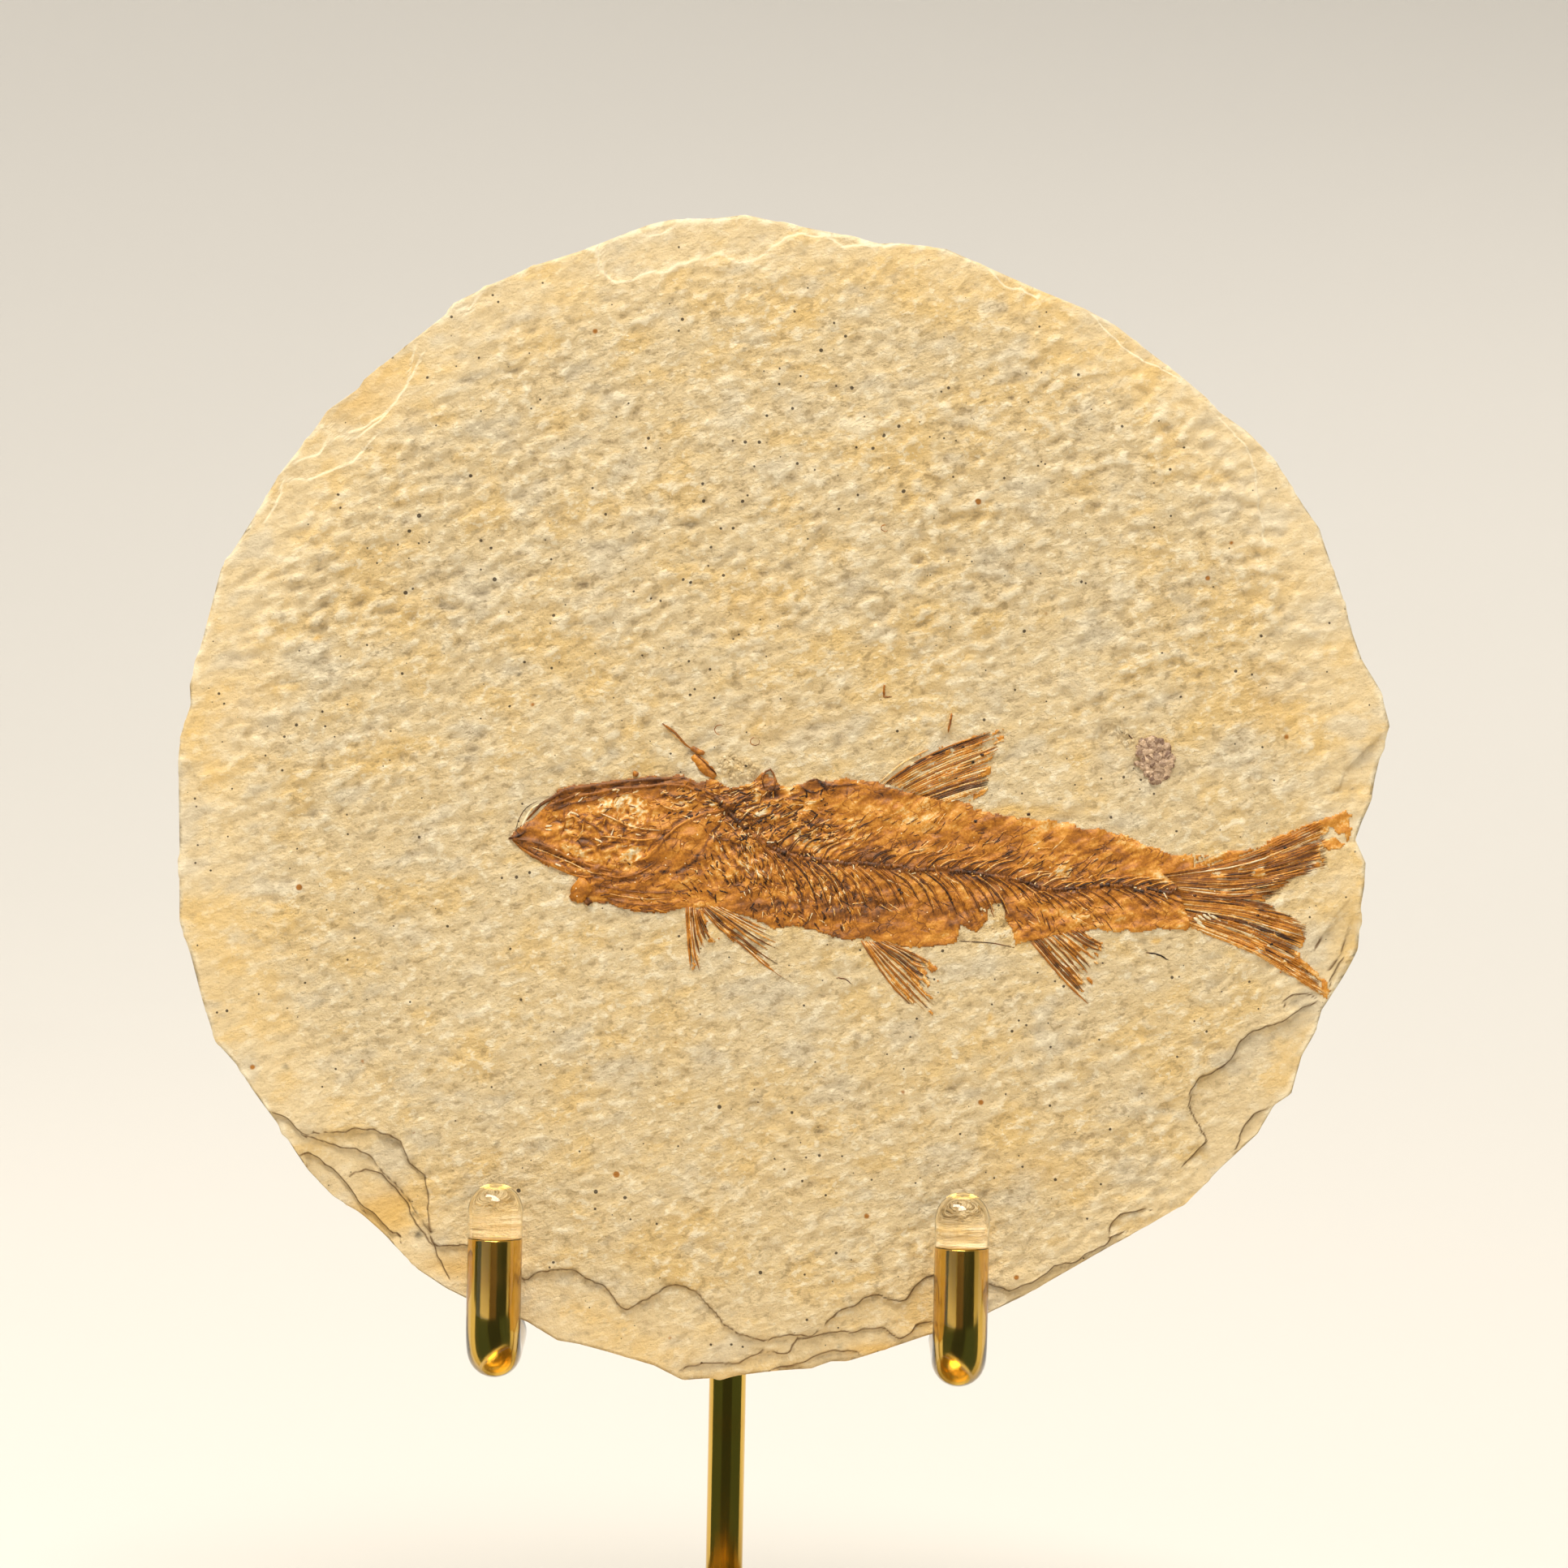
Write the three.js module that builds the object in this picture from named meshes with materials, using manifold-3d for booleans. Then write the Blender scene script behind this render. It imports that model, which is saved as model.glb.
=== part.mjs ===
// A fossil fish on a hand-trimmed limestone slab, resting in a small brass display stand.
// Millimetres, +Z up, the slab's face looks towards -Y. The origin is on the spine rod's axis at the
// underside of the foot.
import * as THREE from "three";
import { mergeVertices } from "three/addons/utils/BufferGeometryUtils.js";
import Module from "manifold-3d";

const wasm = await Module();
wasm.setup();

// ---- Driving dimensions ----
const SLAB_THICKNESS = 7;
const SLAB_LEAN = THREE.MathUtils.degToRad(6); // back from the vertical
const SLAB_TURN = THREE.MathUtils.degToRad(1.15); // turned in its own plane, head end down
const SLAB_CENTRE = new THREE.Vector3(4, -10.15, 88.8); // middle of the face, in the stand's frame
const EDGE_LAYERS = 7; // levels at which the broken edge changes its slope
const FLAKE_DEPTH = 0.8; // of the layers that came away along the lower edge

const FISH_THICKNESS = 0.3;
const SPINE_HEIGHT = 0.25; // of the backbone and the skull above the rest of the fish

const ROD_RADIUS = 1.65;
const ROD_SIDES = 16;
const FOOT_RADIUS = 37;
const FOOT_HEIGHT = 6;
const FOOT_CHAMFER = 1;
const SOCKET_DEPTH = 4; // of the blind hole that holds the rod
const ARM_X = 20; // the hooks stand this far to each side of the rod
const ARM_Z = 41; // centre of the arms that carry the slab
const CROSSBAR_Z = 53;
const CROSSBAR_OVERHANG = 2;
const PRONG_GAP = 2.8; // from the slab's face to the prong's centreline
const PRONG_HEIGHT = 10.3; // brass above the arm's centreline
const BEND_RADIUS = 4;

const SLEEVE_RADIUS = 2.35;
const SLEEVE_TIP = 2.35; // solid vinyl between the brass's end and the centre of the round end
const TIP_BOTTOM_Z = 83;
const TIP_ROD_END_Z = 90.6;

const GAP = 0.3; // between pieces that only rest on each other
const FIT = 0.1; // between pieces that are pushed or brazed together

// ---- Materials ----
const limestone = new THREE.MeshStandardMaterial({ color: 0xe3c997, roughness: 0.9 });
const fossilBone = new THREE.MeshStandardMaterial({ color: 0xbe7b2f, roughness: 0.55 });
const brass = new THREE.MeshStandardMaterial({ color: 0xc89b3c, roughness: 0.18, metalness: 1 });
const clearVinyl = new THREE.MeshStandardMaterial({
  color: 0xf6f3ea,
  roughness: 0.08,
  transparent: true,
  opacity: 0.35,
});

// ---- Joining and cutting ----
function solidOf(geometry) {
  const bare = geometry.clone();
  bare.deleteAttribute("normal");
  bare.deleteAttribute("uv");
  const merged = mergeVertices(bare, 1e-4);
  return new wasm.Manifold(
    new wasm.Mesh({
      numProp: 3,
      vertProperties: merged.attributes.position.array,
      triVerts: new Uint32Array(merged.index.array),
    }),
  );
}

function geometryOf(solid) {
  const mesh = solid.getMesh();
  const geometry = new THREE.BufferGeometry();
  geometry.setAttribute("position", new THREE.BufferAttribute(mesh.vertProperties, 3));
  geometry.setIndex(new THREE.BufferAttribute(mesh.triVerts, 1));
  return geometry;
}

function named(name, geometry, material) {
  const mesh = new THREE.Mesh(geometry, material);
  mesh.name = name;
  return mesh;
}

// ---- Outlines on the slab's face: [right, up] from the middle of the face ----
// The trimmed edge, clockwise from the top: each point is a corner between two chips.
const SLAB_OUTLINE = [
  [-3.4, 50.8], [1.3, 49.8], [6, 48.9], [8.2, 48.3], [10.1, 48.3], [14.1, 47.8], [18, 46.1],
  [22.3, 44.2], [26.2, 42.6], [28.8, 41.2], [31.2, 39.3], [34.2, 37], [36.7, 34.9], [37.6, 33.8],
  [40.2, 32], [42.8, 29.3], [43.5, 28], [45.2, 25.4], [46.5, 23.5], [47, 21.9], [48.2, 18.6],
  [49.4, 14.3], [50.2, 12.1], [51.8, 9.5], [52.6, 6.4], [52.2, 5.2], [51.4, 2.1], [51, -0.1],
  [50.2, -1.9], [49.6, -3.5], [50.5, -5.5], [50.4, -7.4], [50.1, -9.3], [50, -12], [49.9, -13.1],
  [48.8, -15.1], [46.7, -18.3], [46.2, -20.2], [45, -22.3], [44.1, -25.6], [42.6, -26.6],
  [41.2, -29.1], [38.1, -31.9], [35, -35], [31.6, -37], [26.3, -40], [20.9, -43.1], [18, -44.5],
  [13.3, -46.3], [9.5, -47.6], [5.5, -48.9], [4.1, -48.9], [2.4, -49.5], [-1.7, -49.8],
  [-5.3, -50.3], [-8.8, -50.5], [-11.3, -49.2], [-15.3, -48], [-17.9, -47.3], [-19.7, -47],
  [-22.3, -45.4], [-27.5, -43.4], [-29.3, -42.5], [-31.8, -40.9], [-35.1, -37.6], [-36.9, -36],
  [-39.3, -34.5], [-41.4, -32.3], [-43.8, -28.5], [-46.1, -25.3], [-47.6, -23], [-49.4, -21],
  [-50.5, -17.5], [-51.5, -13.6], [-52.5, -10.6], [-52.5, -4.6], [-52.6, 3.4], [-52.4, 5.5],
  [-51.5, 8.3], [-51.6, 9.9], [-50.3, 14.6], [-48.9, 20], [-47.1, 22.8], [-45.4, 25.6],
  [-44, 28], [-40.7, 32.3], [-39.7, 33.8], [-37, 35.7], [-36.5, 36.5], [-33.1, 39.2],
  [-29.4, 42.1], [-28.7, 43.1], [-25.8, 44.5], [-21.9, 46.3], [-17.8, 47.6], [-14.8, 48.8],
  [-11.6, 50], [-9.7, 50.4], [-5.9, 50.5],
];

// Where the top layer ends above the lower edge, and in the notch under the tail, closed outside.
const LOWER_FLAKE = [
  [-52, -27], [-45, -26.5], [-41.6, -28.8], [-36.7, -28.4], [-33.1, -29.5], [-30.9, -32.6],
  [-30.5, -37.7], [-27.4, -38.4], [-22.3, -41.5], [-18.3, -40.5], [-15.3, -42.1], [-13.5, -44.1],
  [-9.8, -41.9], [-7.2, -42.9], [-5, -45.4], [-3, -46.3], [2.6, -46.3], [6.2, -43.8],
  [8.3, -42.6], [10.5, -43.2], [13.2, -41], [18, -41.9], [22.3, -41.2], [26.3, -39.1],
  [30, -37.2], [34, -40], [20, -54], [-30, -54],
];
const TAIL_FLAKE = [
  [48, -17.4], [43.7, -18.6], [39, -21.2], [38.7, -22.3], [35, -25.2], [35, -26.6],
  [36.5, -29.5], [34.2, -31.8], [37, -35], [50, -30],
];

// The fish from the tip of the snout along the back, round the tail, and home along the belly.
const FISH_OUTLINE = [
  [-23.7, -3.4], [-23.2, -2.5], [-21.7, -1.6], [-20.4, -0.4], [-19.5, 1], [-15.3, 1.6],
  [-9, 2.1], [-6, 1.9], [-4.9, 1], [-3.1, 1.3], [-1.8, 2.5], [0.3, 1.2], [2.6, 1.9], [8.1, 1.6],
  [11.6, 3.8], [14.9, 5.2], [19, 6.2], [18.8, 3.8], [16.3, -0.6], [21.3, -1.6], [27.1, -2.5],
  [31.5, -3.9], [35.4, -4.8], [39.8, -4.3], [45.4, -2], [48.2, -1.2], [48.6, -2.3],
  [47.9, -4.4], [46.8, -4.6], [45.4, -6], [43.7, -7.1], [41.2, -8.1], [42.6, -9.8], [45.1, -11.8],
  [44.5, -13.4], [46.8, -16.5], [46.2, -16.9], [42.6, -14.8], [38.7, -12.6], [34.3, -10.6],
  [32.3, -11.2], [27.1, -11.3], [27.5, -13.1], [26.4, -17.4], [21.3, -12.3], [19.9, -12.6],
  [18.8, -9], [17.7, -9.2], [17.7, -10.4], [16.6, -11.6], [15.3, -10.9], [14.9, -12.5],
  [8.1, -12.7], [13, -14.3], [11.7, -17.6], [10.2, -16.7], [6.5, -12.1], [5, -12.3],
  [1.6, -11.1], [-2.8, -10.6], [0.4, -15.6], [-3.9, -12.9], [-7, -11.6], [-7.2, -15.3],
  [-8, -14.8], [-8.8, -9.5], [-12.2, -9.8], [-15.3, -9], [-17.9, -8.9], [-18.3, -8.1],
  [-17.6, -6.7], [-20.9, -5.4],
];

// The backbone's line from the back of the skull to the root of the tail.
const BACKBONE = [
  [-6, 0], [-3.6, -2.1], [-1, -4.2], [4.2, -5.4], [12.2, -6], [17.7, -6.5], [22.7, -7.8],
  [28.8, -7.4], [35.5, -8],
];
const BACKBONE_WIDTH = 1.1;
const SKULL_LENGTH = 17;
const SKULL_HEIGHT = 9;
const SKULL_MIDDLE = [-12.6, -3.8];

// ---- The slab and the fish ----
function plate(outline, thickness, steps = 1) {
  const shape = new THREE.Shape(outline.map(([right, up]) => new THREE.Vector2(right, up)));
  const geometry = new THREE.ExtrudeGeometry(shape, { depth: thickness, steps, bevelEnabled: false });
  return geometry.rotateX(Math.PI / 2); // the face turns to -Y, and its thickness runs from 0 to -Y
}

// The edge is fullest one layer behind the face and draws in from there to the back.
function brokenEdge(depth) {
  return depth < 0.5 ? 0.994 : 1 - 0.006 * (depth - 1);
}

function slabGeometry() {
  const block = plate(SLAB_OUTLINE, SLAB_THICKNESS, EDGE_LAYERS).translate(0, SLAB_THICKNESS, 0);
  const position = block.attributes.position;
  for (let i = 0; i < position.count; i += 1) {
    const draw = brokenEdge(position.getY(i));
    position.setX(i, position.getX(i) * draw);
    position.setZ(i, position.getZ(i) * draw);
  }
  const scar = (outline) => solidOf(plate(outline, 2 * FLAKE_DEPTH).translate(0, FLAKE_DEPTH, 0));
  return geometryOf(solidOf(block).subtract(scar(LOWER_FLAKE)).subtract(scar(TAIL_FLAKE)));
}

// A strip along the backbone that tapers to the tail.
function backboneOutline() {
  const line = BACKBONE.map(([right, up]) => new THREE.Vector2(right, up));
  const last = line.length - 1;
  const side = (sign) =>
    line.map((point, i) => {
      const along = line[Math.min(i + 1, last)].clone().sub(line[Math.max(i - 1, 0)]).normalize();
      const half = (sign * BACKBONE_WIDTH * (1 - (0.5 * i) / last)) / 2;
      return [point.x - along.y * half, point.y + along.x * half];
    });
  return [...side(1), ...side(-1).reverse()];
}

function fishGeometry() {
  const proud = FISH_THICKNESS + SPINE_HEIGHT;
  const skull = new THREE.CylinderGeometry(0.5, 0.5, proud, 20)
    .scale(SKULL_LENGTH, 1, SKULL_HEIGHT)
    .translate(SKULL_MIDDLE[0], -proud / 2, SKULL_MIDDLE[1]);
  const film = solidOf(plate(FISH_OUTLINE, FISH_THICKNESS));
  const head = solidOf(skull).intersect(solidOf(plate(FISH_OUTLINE, proud)));
  const joined = film.add(head).add(solidOf(plate(backboneOutline(), proud)));
  return geometryOf(joined).translate(0, -GAP, 0);
}

const slabRest = new THREE.Group();
slabRest.rotation.set(-SLAB_LEAN, 0, 0);
slabRest.position.copy(SLAB_CENTRE);
const slabTurn = new THREE.Group();
slabTurn.rotation.y = -SLAB_TURN;
slabTurn.add(named("slab", slabGeometry(), limestone));
slabTurn.add(named("fish", fishGeometry(), fossilBone));
slabRest.add(slabTurn);

// ---- The stand ----
function circle(radius, sides = ROD_SIDES) {
  const points = Array.from({ length: sides }, (_, i) => {
    const angle = (2 * Math.PI * i) / sides;
    return new THREE.Vector2(radius * Math.cos(angle), radius * Math.sin(angle));
  });
  return new THREE.Shape(points);
}

// A round bar along a path, with flat ends.
function bar(path, radius, steps) {
  return new THREE.ExtrudeGeometry(circle(radius), { steps, extrudePath: path });
}

function straight(from, to) {
  return new THREE.LineCurve3(from, to);
}

// A path through the given corners, with each corner but the ends rounded.
function bentPath(corners) {
  const path = new THREE.CurvePath();
  let start = corners[0];
  for (let i = 1; i < corners.length - 1; i += 1) {
    const corner = corners[i];
    const towards = (other) =>
      corner.clone().add(other.clone().sub(corner).normalize().multiplyScalar(BEND_RADIUS));
    const before = towards(corners[i - 1]);
    const after = towards(corners[i + 1]);
    path.add(straight(start, before));
    path.add(new THREE.QuadraticBezierCurve3(before, corner, after));
    start = after;
  }
  path.add(straight(start, corners[corners.length - 1]));
  return path;
}

// Points in the upright plane of an arm. The prong leans back with the slab's face.
const CROSSBAR_Y = -2 * ROD_RADIUS - FIT;
const lean = new THREE.Vector3(0, Math.sin(SLAB_LEAN), Math.cos(SLAB_LEAN));
const prongFoot = new THREE.Vector3(0, 0, ARM_Z);
prongFoot.y =
  SLAB_CENTRE.y -
  PRONG_GAP / Math.cos(SLAB_LEAN) -
  (SLAB_CENTRE.z - ARM_Z) * Math.tan(SLAB_LEAN);

function alongProng(height) {
  return prongFoot.clone().addScaledVector(lean, height);
}

function atArm(point, x) {
  return new THREE.Vector3(x, point.y, point.z);
}

function hookGeometry(x) {
  const legFoot = new THREE.Vector3(x, CROSSBAR_Y, ARM_Z);
  const legTop = new THREE.Vector3(x, CROSSBAR_Y, CROSSBAR_Z - ROD_RADIUS - FIT);
  const corners = [atArm(alongProng(PRONG_HEIGHT), x), atArm(prongFoot, x), legFoot, legTop];
  return bar(bentPath(corners), ROD_RADIUS, 36);
}

// A blind tube: a bar with a round end, bored from its open end as far as the brass reaches.
function sleeveGeometry(x) {
  const open = new THREE.Vector3(x, CROSSBAR_Y - BEND_RADIUS - FIT, ARM_Z);
  const past = open.clone().setY(open.y + 1);
  const end = atArm(alongProng(PRONG_HEIGHT + SLEEVE_TIP), x);
  const boreEnd = atArm(alongProng(PRONG_HEIGHT + FIT), x);
  const foot = atArm(prongFoot, x);
  const dome = new THREE.SphereGeometry(SLEEVE_RADIUS, ROD_SIDES, 10).rotateX(Math.PI / 2);
  const tube = solidOf(bar(bentPath([end, foot, open]), SLEEVE_RADIUS, 24));
  const bore = solidOf(bar(bentPath([boreEnd, foot, past]), ROD_RADIUS + FIT, 24));
  const round = solidOf(dome.rotateX(-SLAB_LEAN).translate(end.x, end.y, end.z));
  return geometryOf(tube.add(round).subtract(bore));
}

function footGeometry() {
  const top = FOOT_HEIGHT;
  const socket = ROD_RADIUS + FIT;
  const profile = [
    [0, 0],
    [FOOT_RADIUS - FOOT_CHAMFER / 2, 0],
    [FOOT_RADIUS, FOOT_CHAMFER / 2],
    [FOOT_RADIUS, top - FOOT_CHAMFER],
    [FOOT_RADIUS - FOOT_CHAMFER, top],
    [socket, top],
    [socket, top - SOCKET_DEPTH],
    [0, top - SOCKET_DEPTH],
  ];
  const points = profile.map(([radius, height]) => new THREE.Vector2(radius, height));
  return new THREE.LatheGeometry(points, 64).rotateX(Math.PI / 2);
}

// The clear cap over the top of the spine rod, turned and bored from below.
function backTipGeometry() {
  const bore = ROD_RADIUS + FIT;
  const centre = TIP_ROD_END_Z + SLEEVE_TIP;
  const profile = [
    [0, TIP_ROD_END_Z + FIT],
    [bore, TIP_ROD_END_Z + FIT],
    [bore, TIP_BOTTOM_Z],
    [SLEEVE_RADIUS, TIP_BOTTOM_Z],
  ];
  for (let i = 0; i <= 6; i += 1) {
    const angle = (Math.PI / 12) * i;
    const radius = i === 6 ? 0 : SLEEVE_RADIUS * Math.cos(angle);
    profile.push([radius, centre + SLEEVE_RADIUS * Math.sin(angle)]);
  }
  const points = profile.map(([radius, height]) => new THREE.Vector2(radius, height));
  return new THREE.LatheGeometry(points, ROD_SIDES).rotateX(Math.PI / 2);
}

function upright(from, to) {
  return straight(new THREE.Vector3(0, 0, from), new THREE.Vector3(0, 0, to));
}

function crossbarGeometry() {
  const reach = ARM_X + CROSSBAR_OVERHANG;
  const left = new THREE.Vector3(-reach, CROSSBAR_Y, CROSSBAR_Z);
  return bar(straight(left, left.clone().setX(reach)), ROD_RADIUS, 1);
}

const stand = new THREE.Group();
stand.add(named("base", footGeometry(), brass));
const rodLength = upright(FOOT_HEIGHT - SOCKET_DEPTH + FIT, TIP_ROD_END_Z);
stand.add(named("spine_rod", bar(rodLength, ROD_RADIUS, 1), brass));
stand.add(named("crossbar", crossbarGeometry(), brass));
stand.add(named("back_tip", backTipGeometry(), clearVinyl));
for (const [side, x] of [["left", -ARM_X], ["right", ARM_X]]) {
  stand.add(named(`hook_${side}`, hookGeometry(x), brass));
  stand.add(named(`sleeve_${side}`, sleeveGeometry(x), clearVinyl));
}

const fossil = new THREE.Group();
fossil.add(stand, slabRest);
export default fossil;
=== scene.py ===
from math import cos, pi, radians, sin, tan

import bmesh
import bpy
import numpy as np
from mathutils import Matrix, Vector
from mathutils.bvhtree import BVHTree


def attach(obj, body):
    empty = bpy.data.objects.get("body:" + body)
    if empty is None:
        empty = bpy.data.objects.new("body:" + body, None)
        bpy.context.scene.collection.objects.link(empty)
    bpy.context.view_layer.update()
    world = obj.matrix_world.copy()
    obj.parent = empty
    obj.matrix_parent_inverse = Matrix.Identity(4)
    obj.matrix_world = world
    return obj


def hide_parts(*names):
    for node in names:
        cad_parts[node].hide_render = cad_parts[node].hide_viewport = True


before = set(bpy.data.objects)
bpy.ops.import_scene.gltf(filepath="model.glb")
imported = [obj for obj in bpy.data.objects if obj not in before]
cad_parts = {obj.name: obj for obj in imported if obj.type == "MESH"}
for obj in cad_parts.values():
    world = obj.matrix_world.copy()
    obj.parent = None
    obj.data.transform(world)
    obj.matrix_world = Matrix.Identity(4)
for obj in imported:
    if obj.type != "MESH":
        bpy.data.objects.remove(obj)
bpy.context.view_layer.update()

# ---- The studio and the camera ----
# A pale floor that rises into a wall all round, soft lamps above it, and glowing cards that show only in the
# polished metal and the clear tips, as painted reflections. The camera looks straight at the slab's face.
MM = 0.001
SLAB_LEAN = radians(6)
SLAB_TURN = radians(1.15)
SLAB_CENTRE = Vector((4, -10.15, 88.8))
CAMERA_DISTANCE = 420
CAMERA_RISE = 1.33
CAMERA_LENS = 111.8
FLOOR_RADIUS = 0.45
WALL_RADIUS = 2.0
WALL_HEIGHT = 2.4
CARD_RADIUS = 0.44

face_turn = Matrix.Rotation(pi / 2 - SLAB_LEAN, 4, "X") @ Matrix.Rotation(SLAB_TURN, 4, "Z")
face_place = Matrix.Scale(MM, 4) @ Matrix.Translation(SLAB_CENTRE) @ face_turn

camera = bpy.data.objects.new("camera", bpy.data.cameras.new("camera"))
bpy.context.collection.objects.link(camera)
camera.data.lens = CAMERA_LENS
camera.matrix_world = Matrix.Translation(face_place @ Vector((0, CAMERA_RISE, CAMERA_DISTANCE))) @ face_turn
bpy.context.scene.camera = camera
bpy.context.scene.view_settings.view_transform = "Standard"


def linear(red, green, blue):
    """A colour as the eye sees it, 0 to 255, in the linear values that shaders take."""
    return tuple((value / 255) ** 2.2 for value in (red, green, blue))


class Value:
    """What a node gives out. Arithmetic on it adds Math nodes."""

    def __init__(self, finish, socket):
        self.finish = finish
        self.socket = socket

    def math(self, operation, first, second):
        return self.finish.node("Math", {"operation": operation}, {0: first, 1: second})

    def __add__(self, other):
        return self.math("ADD", self, other)

    def __radd__(self, other):
        return self.math("ADD", other, self)

    def __sub__(self, other):
        return self.math("SUBTRACT", self, other)

    def __rsub__(self, other):
        return self.math("SUBTRACT", other, self)

    def __mul__(self, other):
        return self.math("MULTIPLY", self, other)


class Finish:
    """One material: its nodes, and what is set on its shader."""

    def __init__(self, name, **plain):
        self.material = bpy.data.materials.new(name)
        self.material.use_nodes = True
        self.tree = self.material.node_tree
        self.shader = self.tree.nodes["Principled BSDF"]
        self.give(**plain)

    def feed(self, socket, value):
        if isinstance(value, Value):
            self.tree.links.new(value.socket, socket)
        elif isinstance(value, tuple) and socket.type == "RGBA":
            socket.default_value = (*value, 1)
        else:
            socket.default_value = value

    def node(self, kind, settings=None, inputs=None, output=0):
        made = self.tree.nodes.new("ShaderNode" + kind)
        for name, setting in (settings or {}).items():
            if name == "stops":
                ramp = made.color_ramp
                while len(ramp.elements) < len(setting):
                    ramp.elements.new(1)
                for element, (position, colour) in zip(ramp.elements, setting):
                    element.position = position
                    element.color = (*colour, 1)
            else:
                setattr(made, name, setting)
        for name, value in (inputs or {}).items():
            self.feed(made.inputs[name], value)
        return Value(self, made.outputs[output])

    def place(self, size, turn=0, shift=0):
        """Object coordinates in units of the given size in millimetres, turned in the slab's plane."""
        coordinates = self.node("TexCoord", output=3)
        sizes = size if isinstance(size, tuple) else (size, size, size)
        where = {
            "Vector": coordinates,
            "Location": (shift * MM, shift * MM, shift * MM),
            "Rotation": (0, -turn, 0),
            "Scale": tuple(side * MM for side in sizes),
        }
        return self.node("Mapping", {"vector_type": "TEXTURE"}, where)

    def noise(self, size, detail=2, turn=0, shift=0, roughness=0.5):
        inputs = {"Vector": self.place(size, turn, shift), "Scale": 1}
        return self.node("TexNoise", None, {**inputs, "Detail": detail, "Roughness": roughness})

    def cells(self, size, feature="F1", turn=0, shift=0, output=0, warp=0):
        where = self.place(size, turn, shift)
        if warp:
            bend = self.node("TexNoise", None, {"Vector": where, "Scale": 1.3, "Detail": 2}, output=1)
            where = self.node("Mix", {"data_type": "VECTOR"}, {0: warp, 4: where, 5: bend}, output=1)
        return self.node("TexVoronoi", {"feature": feature}, {"Vector": where, "Scale": 1}, output)

    def fade(self, value, low, high):
        """0 where the value is at low, 1 where it is at high, and smooth between."""
        inputs = {"Value": value, "From Min": low, "From Max": high}
        return self.node("MapRange", {"interpolation_type": "SMOOTHSTEP"}, inputs)

    def mix(self, first, second, factor):
        return self.node("Mix", {"data_type": "RGBA"}, {0: factor, 6: first, 7: second}, output=2)

    def painted(self, name):
        return self.node("Attribute", {"attribute_name": name}, output=2)

    def bump(self, height, distance, strength, under=None):
        inputs = {"Height": height, "Distance": distance * MM, "Strength": strength}
        if under:
            inputs["Normal"] = under
        return self.node("Bump", None, inputs)

    def give(self, **given):
        """Sets or links what each named socket of the shader takes."""
        for socket, value in given.items():
            self.feed(self.shader.inputs[socket.replace("_", " ")], value)


def put(name, bm, material, smooth=True):
    """Makes a bmesh an object of its own, at the origin, with its place in its mesh."""
    bmesh.ops.recalc_face_normals(bm, faces=bm.faces[:])
    if bm.calc_volume(signed=True) < 0:
        bmesh.ops.reverse_faces(bm, faces=bm.faces[:])
    mesh = bpy.data.meshes.new(name)
    bm.to_mesh(mesh)
    bm.free()
    mesh.materials.append(material)
    mesh.polygons.foreach_set("use_smooth", [smooth] * len(mesh.polygons))
    made = bpy.data.objects.new(name, mesh)
    bpy.context.collection.objects.link(made)
    return made


def spun(name, profile, material, angle=2 * pi, start=0, steps=96):
    """A profile of (radius, height) corners turned round the upright axis."""
    bm = bmesh.new()
    corners = [bm.verts.new((radius * cos(start), radius * sin(start), z)) for radius, z in profile]
    for low, high in zip(corners, corners[1:]):
        bm.edges.new((low, high))
    bmesh.ops.spin(
        bm,
        geom=bm.verts[:] + bm.edges[:],
        cent=(0, 0, 0),
        axis=(0, 0, 1),
        angle=angle,
        steps=steps,
        use_merge=angle == 2 * pi,
    )
    bmesh.ops.remove_doubles(bm, verts=bm.verts[:], dist=1e-6)
    return put(name, bm, material)


rise = WALL_RADIUS - FLOOR_RADIUS
curve = [(FLOOR_RADIUS + rise * sin(a), rise - rise * cos(a)) for a in np.linspace(0, pi / 2, 20)]
cove_paper = Finish("cove_paper", Base_Color=linear(219, 215, 208), Roughness=0.9)
cove = spun("cove", [(0, 0), *curve, (WALL_RADIUS, WALL_HEIGHT)], cove_paper.material)
cove.location.z = -0.05 * MM

# Glowing cards that only shiny and clear surfaces see, painted reflections rather than lamps: dark ones for
# the metal and a bright one high in front for the clear tips. For each: its side view, its start and end in
# degrees round the stand from the front towards the right, and its brightness.
WALL_CARD = [(CARD_RADIUS, 0.0005), (CARD_RADIUS, 0.3)]
FLOOR_CARD = [(0.045, 0.0005), (CARD_RADIUS, 0.0005)]
HIGH_CARD = [(0.30, 0.40), (0.22, 0.48)]
for number, (profile, left, right, colour) in enumerate([
    (WALL_CARD, -115, -72, (0.06, 0.085, 0.055)),
    (WALL_CARD, -22, 13, (0.17, 0.12, 0.07)),
    (WALL_CARD, 13, 72, (0.04, 0.05, 0.035)),
    (FLOOR_CARD, -100, -30, (0.075, 0.105, 0.065)),
    (FLOOR_CARD, -30, 30, (0.04, 0.05, 0.035)),
    (FLOOR_CARD, 30, 100, (0.075, 0.105, 0.065)),
    (WALL_CARD, 125, 155, (0.05, 0.045, 0.035)),
    (WALL_CARD, 196, 222, (0.05, 0.045, 0.035)),
    (HIGH_CARD, -28, 24, (16.0, 15.5, 14.6)),
]):
    painted_reflection = Finish(f"painted_reflection_{number}", Base_Color=(0.0, 0.0, 0.0), Specular_IOR_Level=0.0)
    painted_reflection.give(Emission_Color=colour, Emission_Strength=1.0)
    card = spun(
        f"card_{number}",
        profile,
        painted_reflection.material,
        angle=radians(right - left),
        start=radians(left - 90),
        steps=24,
    )
    card.visible_camera = False
    card.visible_diffuse = False
    card.visible_shadow = False


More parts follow.
